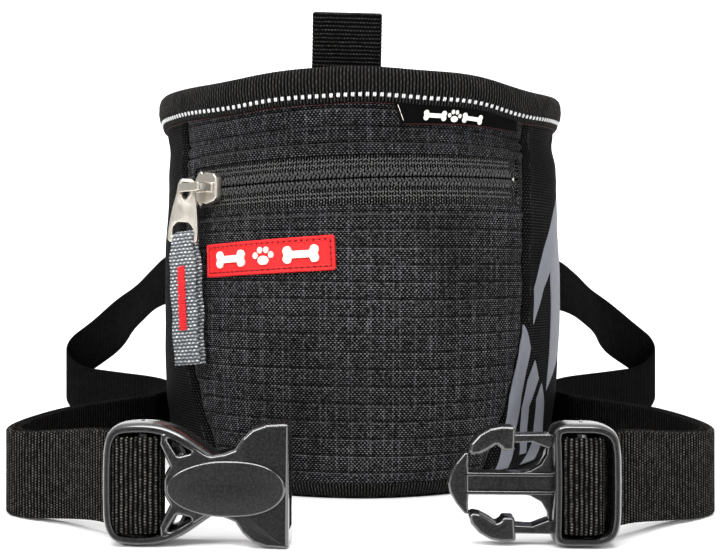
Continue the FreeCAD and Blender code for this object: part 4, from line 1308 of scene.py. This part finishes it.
def patch_height(x, z):
    """Relief of the patch: raised rim, pressed stitch channel, low field."""
    beside = PATCH_HALF_WIDTH - np.abs(x)
    above = PATCH_HALF_HEIGHT - np.abs(z)
    edge = np.minimum(beside, above)
    along = np.where(beside < above, z, x)
    shoulder = np.clip(edge / 0.35, 0, 1)
    rim = 1.45 * np.sqrt(shoulder * (2 - shoulder))
    channel = hump(edge - PATCH_CHANNEL, 0.5, 0.32)
    stitched = np.sin(along * 2 * math.pi / PATCH_STITCH) > -0.55
    field = 0.35 * np.clip((edge - 1.75) / 0.25, 0, 1)
    return rim - channel + hump(edge - PATCH_CHANNEL, 0.38, 0.3) * stitched - field


def badge_marks(name, spacing, bone_size, paw_place, paw_size, depth, bevel):
    """Two bones with a paw print between them, as raised plates."""
    marks = [bone(-spacing, 0, *bone_size), bone(spacing, 0, *bone_size)] + paw(0, paw_place, paw_size)
    return join(name, [plate("mark", outline, depth=depth, bevel=bevel) for outline in marks])


def rubber_patch():
    """Moulded patch with rounded corners, and off-white marks raised on it."""
    corner_radius = 1.1
    z = np.linspace(-PATCH_HALF_HEIGHT, PATCH_HALF_HEIGHT, 90)[:, None]
    corner = np.clip(np.abs(z) - (PATCH_HALF_HEIGHT - corner_radius), 0, corner_radius)
    reach = PATCH_HALF_WIDTH - (corner_radius - np.sqrt(corner_radius ** 2 - corner ** 2))
    x = np.linspace(-1, 1, 340)[None, :] * reach
    z = z + 0 * x
    verts = np.stack([x, -patch_height(x, z), z], -1).reshape(-1, 3)
    obj = new_object("rubber_patch", verts, grid_faces(*x.shape), verts[:, [0, 2]] * MM)
    wrap_on_wall(obj, PATCH_T, PATCH_Z, PATCH_TILT, 0.05)
    solidify(obj, 0.35 * MM)
    dress(obj, PATCH_RUBBER, nodes=["patch"])
    emblem = badge_marks("patch_marks", 12.5, (4.3, 1.5, 1.15), -0.1, 4.4, (-1.9, -0.9), 0.22)
    wrap_on_wall(emblem, PATCH_T, PATCH_Z, PATCH_TILT, 0.05)
    dress(emblem, EMBLEM_RUBBER, nodes=["patch_emblem"])


LABEL_LOW, LABEL_HIGH = 117.9, 125.2


def label_rise(t):
    """How far the label's lower edge rises towards its right end."""
    return 1.7 * np.clip((t - 15) / 45, 0, 1)


def label_hang(t, z, h):
    """The label's place on the wall, held level along its top."""
    return on_wall(t, z + label_rise(t) * (LABEL_HIGH - z) / (LABEL_HIGH - LABEL_LOW), h)


def label_relief(t, z, fraction):
    """The label's free lower part waves, and its ends are turned in."""
    wave = 0.2 * np.sin(t / 7.0) * (LABEL_HIGH - z) / 7
    return 0.75 + wave + hump(edge_distance(fraction, 44), -0.35, 0.6)


def side_label():
    """Black satin label caught under the binding, with small white marks and a loose end stitch."""
    rows = np.linspace(LABEL_LOW, LABEL_HIGH, 30)
    left = around(15.3, rows) - 0.3 * (rows - LABEL_LOW)
    right = around(53.6, rows)
    label = cloth("side_label_satin", left, right, rows, 120, label_relief, 0.45, place=label_hang)
    dress(label, SATIN, nodes=["side_label"])
    t = np.linspace(around(15.9, 118), around(52.8, 118), 200)
    hem = stitch_row("label_hem", t, 118.2 + label_rise(t), 0.9, 0.8, 0.14, 0.85)
    dress(hem, DARK_RED_THREAD)
    end_t, end_z = np.linspace(14.2, 16.6, 9), np.linspace(124.2, 118.8, 9)
    stitch = stitch_row("label_stitch", end_t, end_z, 2.8, 2.5, 0.13, 0.95)
    dress(stitch, WHITE_THREAD)
    marks = badge_marks("label_marks", 6.8, (3.0, 0.9, 0.7), 0, 3.0, (-0.22, -0.02), 0.05)
    dress(wrap_on_wall(marks, 33.5, 121.4, 0, 0.85), EMBLEM_RUBBER)


PRINT_STRIPES = [
    # height, left edge and right edge of a tapering stripe, as distances round the wall
    [(98.5, 99.6, 100.0), (92, 91.0, 104.0), (80, 79.5, 94.0), (66, 71.0, 78.5), (54, 70.2, 70.7)],
    [(84, 90.0, 110.0), (75, 84.8, 110.0), (48, 85.2, 109.0), (36, 84.0, 92.0), (30, 83.0, 83.5)],
    [(54, 64.2, 64.6), (46, 60.6, 68.6), (30, 57.0, 63.0), (12, 53.6, 61.0), (6, 52.6, 60.0)],
    [(41.5, 71.6, 72.1), (35, 67.0, 75.6), (26, 63.6, 68.4), (10, 65.0, 69.6)],
    [(33, 78.0, 78.5), (28, 73.6, 81.0), (14, 74.2, 83.6), (6, 67.5, 80.0)],
]


def print_lift(t, z, fraction):
    """The film lies on the right side panel, over its seam ridge."""
    edge = np.maximum(t - seam_around(z), 0) * SIDE_WIDTH / (CORNER_END + 0.9 - seam_around(z))
    return 0.12 + seam_ridge(edge, z)


def side_print():
    """Reflective film on the right side: generic slanted, tapering stripes."""
    pieces = []
    for stripe in PRINT_STRIPES:
        z, left, right = np.array(sorted(stripe)).T
        rows = np.linspace(z[0], z[-1], 60)
        low = np.maximum(np.interp(rows, z, left), seam_around(rows) + 0.5)
        high = np.maximum(np.interp(rows, z, right), low + 0.05)
        pieces.append(cloth("stripe", low, high, rows, 16, print_lift, 0.05))
    dress(join("side_print_film", pieces), PRINT_FILM, nodes=["side_print"])


def seam_stitches():
    """Black topstitching beside the side seams and along the zip."""
    stitch = (2.7, 2.3, 0.22)
    z = np.linspace(6, 123, 400)
    rows = []
    for side in (-1, 1):
        rows.append(stitch_row("seam", side * (seam_around(z, side) + 3.4), z, *stitch, 0.12))
    t = np.linspace(-around(53.0, 89), around(53.0, 89), 400)
    for level, lift in ((89.2, 0.12), (111.8, 0.22)):
        rows.append(stitch_row("beside_zip", t, np.full(t.shape, level), *stitch, lift))
    dress(join("seam_stitching", rows), BLACK_THREAD)


rubber_patch()
side_label()
side_print()
seam_stitches()

# ---- back tunnel -----------------------------------------------------------------------


SLEEVE_HALF_LENGTH, SLEEVE_LOW, SLEEVE_HIGH = 48.0, 50.0, 86.0
BELT_EXIT = (50.8, 39.7, 67.5)


def belt_sleeve():
    """Sewn sleeve across the back, its top and bottom edges flat and stitched."""
    x = np.linspace(-SLEEVE_HALF_LENGTH, SLEEVE_HALF_LENGTH, 90)[None, :]
    z = np.linspace(SLEEVE_LOW, SLEEVE_HIGH, 60)[:, None]
    edge = np.minimum(z - SLEEVE_LOW, SLEEVE_HIGH - z)
    raised = (edge - 2.2) / 3.5
    y = BACK_Y + 1.3 + 3.0 * smooth_step(raised) + 0.15 * np.sin(x / 6.0) * np.clip(raised, 0, 1)
    points = np.stack([x + 0 * z, y, z + 0 * x], -1).reshape(-1, 3)
    obj = new_object("belt_sleeve_cloth", points * MM, grid_faces(60, 90), points[:, [0, 2]] * MM)
    solidify(obj, 1.15 * MM, offset=1.0)
    dress(obj, SIDE_CLOTH, nodes=["belt_sleeve"])


def sleeve_stitches():
    """A row of stitches along the sleeve's top and bottom edges."""
    starts = []
    for level in (SLEEVE_LOW + 1.3, SLEEVE_HIGH - 1.3):
        first = np.arange(-46.5, 44.5, 3.0)
        starts.append(np.stack([first, 0 * first + BACK_Y + 1.35, 0 * first + level], 1))
    starts = np.concatenate(starts)
    stitches = capsules("sleeve_stitches", starts, starts + np.array([2.5, 0, 0]), 0.25, (0, 1, 0))
    dress(stitches, BLACK_THREAD)


def belt_centre():
    """The webbing inside the sleeve, from one free side to the other."""
    x, y, z = BELT_EXIT
    count = int(2 * x / (BELT_RIB / MM) * 5)
    line = np.stack([np.linspace(-x, x, count), np.full(count, y), np.full(count, z)], 1)
    across = np.tile(UP, (count, 1))
    centre = webbing_mesh("belt_centre_webbing", line * MM, across, BELT_WIDTH, BELT_THICKNESS, BELT_RIB)
    dress(centre, BLACK_WEBBING, nodes=["belt_centre"])


belt_sleeve()
sleeve_stitches()
belt_centre()

# ---- buckles ---------------------------------------------------------------------------
# Both halves are drawn in millimetres with X inwards from the webbing end, -Y towards the
# front and Z up; the plug half is turned end for end.

BUCKLE_HEIGHT = 33.2
BUCKLE_MIDDLE = BUCKLE_HEIGHT / 2
BUCKLE_HALF_DEPTH = 4.8
BUCKLE_BAR = 10.0
HEIGHT_SCALE = 0.97
PAD_MIDDLE, PAD_HALF = (32.7, 15.9), (15.5, 7.5)


def mirrored(points):
    """An upper outline and its mirror image below the buckle's middle, as one loop."""
    return points + [(x, BUCKLE_HEIGHT - z) for x, z in reversed(points)]


def both(points):
    """A hole above the middle, and its mirror image."""
    return [points, [(x, BUCKLE_HEIGHT - z) for x, z in points]]


def box_mesh(x, y, z, bevel=0.0):
    """A box between three (low, high) pairs, its edges optionally softened."""

    def build(work):
        bmesh.ops.create_cube(work, size=1.0)
        for vert in work.verts:
            for axis, (low, high) in enumerate((x, y, z)):
                vert.co[axis] = low if vert.co[axis] < 0 else high
        if bevel:
            bmesh.ops.bevel(work, geom=work.edges, offset=bevel, segments=4, affect="EDGES", profile=0.5)

    mesh = bpy.data.meshes.new("box")
    edit_mesh(mesh, build)
    return link_object("box", mesh)


def carve(obj, cutters):
    """Cut boxes out of a closed mesh."""
    for cutter in cutters:
        modifier = obj.modifiers.new("cut", "BOOLEAN")
        modifier.operation = "DIFFERENCE"
        modifier.solver = "MANIFOLD"
        modifier.object = cutter
    cut = join(obj.name, [obj])
    for cutter in cutters:
        bpy.data.objects.remove(cutter)
    return cut


def swell(obj, centre, reach, amount):
    """Move the front and back faces outwards round a point, for a moulded crown."""
    for vert in obj.data.vertices:
        away = math.dist((vert.co.x, vert.co.z), centre)
        vert.co.y += math.copysign(hump(away, amount, reach), vert.co.y)


def fuller(value):
    """A sine or cosine pushed outwards, so that a round section turns nearly square."""
    return math.copysign(abs(value) ** 0.8, value)


def rounded_rail(line, half_width, closed=False):
    """A rail of rounded section along an (x, z) line, nearly as deep as the buckle."""
    line = np.array(smooth_through(line, closed))
    if closed:
        along = unit(np.roll(line, -1, axis=0) - np.roll(line, 1, axis=0))
    else:
        along = unit(np.gradient(line, axis=0))
    side = np.stack([-along[:, 1], along[:, 0]], 1)
    turns = np.linspace(0, 2 * math.pi, 20, endpoint=False)
    verts = []
    for turn in turns:
        place = line + side * (fuller(math.cos(turn)) * half_width)
        depth = fuller(math.sin(turn)) * (BUCKLE_HALF_DEPTH - 0.05)
        verts.append(np.stack([place[:, 0], np.full(len(line), depth), place[:, 1]], 1))
    verts = np.stack(verts, 1).reshape(-1, 3)
    count = len(turns)
    obj = new_object("rail", verts, grid_faces(len(line), count, closed, True))
    if not closed:
        close_ends(obj, [range(count), range((len(line) - 1) * count, len(line) * count)])
    return obj


def smooth_through(points, closed, steps=6):
    """Points of a smooth line through a few (x, z) points."""
    points = np.array(points, float)
    count = len(points)
    made = []
    for k in range(count if closed else count - 1):
        near = np.arange(k - 1, k + 3)
        near = near % count if closed else np.clip(near, 0, count - 1)
        before, here, there, after = points[near]
        for f in np.linspace(0, 1, steps, endpoint=False):
            made.append(0.5 * (
                2 * here + (there - before) * f + (2 * before - 5 * here + 4 * there - after) * f * f
                + (3 * here - before - 3 * there + after) * f ** 3
            ))
    if not closed:
        made.append(points[-1])
    return made


def webbing_bar():
    """The round bar that the webbing turns about."""
    ends = [[(BUCKLE_BAR, 0, z)] for z in (1.6, BUCKLE_HEIGHT - 1.6)]
    return in_millimetres(capsules("bar", *ends, 2.0))


def webbing_frame(half_loop, half_width, closed=False):
    """A rail round the webbing, its rear edge cut away where the belt comes in."""
    rail = rounded_rail(mirrored(half_loop), half_width, closed)
    return carve(rail, [box_mesh((-5.0, 6.0), (0.9, 9.0), (4.2, 28.9))])


def thumb_pad():
    """Raised oval pad, blunter towards the mouth."""
    outline = []
    for turn in np.linspace(0, 2 * math.pi, 72, endpoint=False):
        across = math.cos(turn)
        blunt = 0.75 if across > 0 else 1.0
        x = PAD_MIDDLE[0] + PAD_HALF[0] * math.copysign(abs(across) ** blunt, across)
        outline.append((x, PAD_MIDDLE[1] + PAD_HALF[1] * math.sin(turn)))
    return plate("pad", outline, depth=(-5.75, -4.2), bevel=0.7)


def socket_body():
    """Slotted shoulders and a waisted body, hollow from its mouth and open at both sides of its waist."""
    upper = [
        (16.4, 18.2), (16.9, 19.8), (18.0, 21.8), (15.2, 27.6), (15.6, 30.4), (17.0, 30.8), (20.8, 29.2),
        (25.0, 26.6), (27.2, 25.1), (28.6, 24.5), (32.0, 25.1), (35.0, 26.3), (37.0, 29.3), (39.6, 31.7),
        (43.0, 32.9), (47.6, 33.2), (48.9, 33.0),
    ]
    slots = both(rounded([(17.1, 29.2), (19.6, 28.4), (24.3, 25.5), (20.0, 24.4)], 0.7))
    deep = (-BUCKLE_HALF_DEPTH, BUCKLE_HALF_DEPTH)
    body = plate("socket", rounded(mirrored(upper), 0.4), slots, depth=deep, bevel=0.9)
    swell(body, (44.0, BUCKLE_MIDDLE), 16.0, 0.35)
    hollow = (-2.9, 2.9)
    mouth = box_mesh((26.0, 60.0), hollow, (4.6, BUCKLE_HEIGHT - 4.6))
    waist = box_mesh((27.0, 38.0), hollow, (-5.0, 40.0))
    return carve(body, [mouth, waist])


def shoulder_rib(side):
    """Slanted rib inside a shoulder, above (1) or below (-1) the middle."""
    edge = [(19.2, 12.2), (20.2, 11.9), (22.2, 8.4), (21.2, 8.2)]
    outline = [(x, BUCKLE_MIDDLE + side * z) for x, z in edge][::side]
    return plate("rib", rounded(outline, 0.2), depth=(-3.6, 3.0), bevel=0.3)


def socket_half():
    """Socket: rounded webbing frame, body, oval thumb pad and the webbing's bar."""
    half_loop = [
        (30.5, 22.0), (27.8, 23.9), (24.6, 26.1), (20.6, 28.8), (16.6, 30.6), (12.4, 31.4), (7.6, 31.4),
        (4.0, 30.6), (2.1, 27.6), (1.6, 22.0),
    ]
    parts = [socket_body(), webbing_frame(half_loop, 1.75), thumb_pad(), webbing_bar()]
    parts += [shoulder_rib(side) for side in (-1, 1)]
    return finish_buckle("socket_moulding", parts, SOCKET_END, "socket_half", "female_buckle")


def finish_buckle(name, parts, end, body, node):
    """Join mouldings, set them at their end of the belt and shade their edges."""
    obj = join(name, parts)
    turned = Matrix.Diagonal((facing(end), 1, HEIGHT_SCALE, 1))
    set_place(obj, Matrix.Translation((end[0], end[1], 0)) @ turned)
    edit_mesh(obj.data)
    shade_smooth(obj.data, sharp=35)
    return dress(obj, ACETAL, body=body, nodes=[node])


def spear():
    """Recessed strip with raised edges and an arrow head."""
    middle = BUCKLE_MIDDLE
    flat = [(17.0, middle + 2.1), (41.0, middle + 2.1), (41.0, middle - 2.1), (17.0, middle - 2.1)]
    head = [
        (39.4, middle + 2.6), (39.6, middle + 5.4), (39.4, middle + 8.3), (40.6, middle + 8.2),
        (42.8, middle + 5.4), (44.4, middle + 2.4), (44.8, middle + 0.3),
    ]
    strip = plate("strip", rounded(flat, 0.3), depth=(-1.3, 1.3))
    arrow = plate("arrow", rounded(mirrored(head), 0.7), depth=(-2.3, 2.3), bevel=0.6)
    edges = []
    for low, high in ((middle - 3.0, middle - 1.9), (middle + 1.9, middle + 3.0)):
        edges.append(box_mesh((17.0, 41.0), (-2.3, 2.3), (low, high), bevel=0.4))
    return [strip, arrow] + edges


def gusset(side):
    """Curved web between the frame and the spear, above (1) or below (-1) the middle."""
    edge = [
        (17.6, 11.2), (18.8, 11.0), (19.1, 7.6), (20.6, 5.0), (23.4, 3.4), (27.0, 2.8), (27.0, 2.0),
        (17.6, 2.0),
    ]
    outline = [(x, BUCKLE_MIDDLE + side * z) for x, z in edge][::side]
    return plate("gusset", rounded(outline, 0.8), depth=(-1.5, 1.5), bevel=0.35)


def plug_half():
    """Plug: webbing frame with its bar, and a centre spear braced by two gussets."""
    half_loop = [
        (1.5, 19.0), (1.7, 26.0), (2.8, 29.6), (6.0, 31.3), (11.0, 31.5), (15.0, 31.4), (16.5, 30.2),
        (16.5, 26.0), (16.4, 19.0),
    ]
    parts = [webbing_frame(half_loop, 1.65, closed=True), webbing_bar()] + spear()
    parts += [gusset(side) for side in (-1, 1)]
    return finish_buckle("plug_moulding", parts, PLUG_END, "plug_half", "male_buckle")


def arm(name, flip, body, node):
    """Flexing arm: thin strip from the frame, and a finger-shaped latch head with a hooked heel."""
    strip = [
        (17.9, 30.0), (27.8, 29.9), (28.4, 29.4), (28.4, 27.6), (23.0, 27.9), (18.8, 26.2), (17.9, 26.6),
    ]
    head = [
        (27.2, 32.0), (31.0, 32.1), (34.0, 31.5), (36.8, 29.9), (39.0, 27.4), (39.6, 25.2), (38.6, 24.3),
        (36.6, 24.6), (34.2, 25.9), (32.3, 27.2), (31.2, 26.4), (30.6, 25.4), (27.5, 25.5),
    ]
    pieces = [
        plate("strip", rounded(strip, 0.6), depth=(-2.5, 2.5), bevel=0.45),
        plate("head", rounded(head, 1.0), depth=(-2.9, 2.9), bevel=0.95),
    ]
    if flip:
        upside_down = Matrix.Translation((0, 0, BUCKLE_HEIGHT)) @ Matrix.Diagonal((1, 1, -1, 1))
        for piece in pieces:
            piece.data.transform(upside_down)
    finish_buckle(name, pieces, PLUG_END, body, node)


socket_piece = socket_half()
plug_piece = plug_half()
arm("upper_arm_moulding", False, "upper_arm", "upper_prong")
arm("lower_arm_moulding", True, "lower_arm", "lower_prong")

# ---- floor and light -------------------------------------------------------------------


def add_floor():
    """Wide white sweep: flat underfoot, curving up far behind."""
    profile = [(-2.5, 0.0)] + [(y, 0.0) for y in np.linspace(-2.0, 1.2, 10)]
    profile += [(1.2 + 1.4 * math.sin(a), 1.4 - 1.4 * math.cos(a)) for a in np.linspace(0.1, 1.5, 16)]
    profile += [(2.65, 3.5)]
    verts = [(x, y, z - 0.2 * MM) for y, z in profile for x in (-4.0, 4.0)]
    floor = new_object("studio_floor", np.array(verts), grid_faces(len(profile), 2))
    s = Shader("studio_white", roughness=0.85, specular=0.2)
    s.colour(s.noise(2.0, 2.0), (0.90, 0.90, 0.90), (0.94, 0.94, 0.94))
    floor.data.materials.append(s.material)


def area_light(name, place, aim, size, power):
    """White rectangular lamp at a place, turned to a point."""
    data = bpy.data.lights.new(name, "AREA")
    data.shape = "RECTANGLE"
    data.size, data.size_y = size
    data.energy = power
    lamp = link_object(name, data)
    lamp.location = place
    lamp.rotation_euler = (Vector(aim) - Vector(place)).to_track_quat("-Z", "Y").to_euler()


def add_world():
    """Studio surroundings: bright above and behind, dimmer on the camera's side."""
    world = bpy.data.worlds.new("studio")
    world.use_nodes = True
    nodes, links = world.node_tree.nodes, world.node_tree.links
    place = nodes.new("ShaderNodeTexCoord")
    split = nodes.new("ShaderNodeSeparateXYZ")
    ramp = nodes.new("ShaderNodeMapRange")
    height = nodes.new("ShaderNodeMath")
    links.new(place.outputs["Generated"], split.inputs[0])
    height.operation = "ADD"
    links.new(split.outputs["Y"], height.inputs[0])
    links.new(split.outputs["Z"], height.inputs[1])
    links.new(height.outputs[0], ramp.inputs["Value"])
    for socket, value in (("From Min", -0.1), ("From Max", 1.1), ("To Min", 0.35), ("To Max", 0.85)):
        ramp.inputs[socket].default_value = value
    background = nodes["Background"]
    background.inputs[0].default_value = (1.0, 1.0, 1.0, 1.0)
    links.new(ramp.outputs[0], background.inputs[1])
    bpy.context.scene.world = world


add_floor()
add_world()
area_light("key", (-0.65, -0.75, 0.60), (0.0, 0.0, 0.06), (0.5, 0.35), 6.6)
area_light("fill", (0.85, -0.60, 0.40), (0.0, 0.0, 0.06), (0.35, 0.6), 3.5)
area_light("top", (0.0, -0.10, 1.1), (0.0, 0.0, 0.0), (0.9, 0.4), 9.5)
area_light("strip", (-0.05, -0.42, 0.50), (0.0, -0.10, 0.03), (0.6, 0.10), 2.6)
area_light("backdrop", (0.0, 0.7, 1.5), (0.0, 2.6, 0.6), (2.0, 0.6), 55.0)

bpy.context.scene.view_settings.view_transform = "Standard"
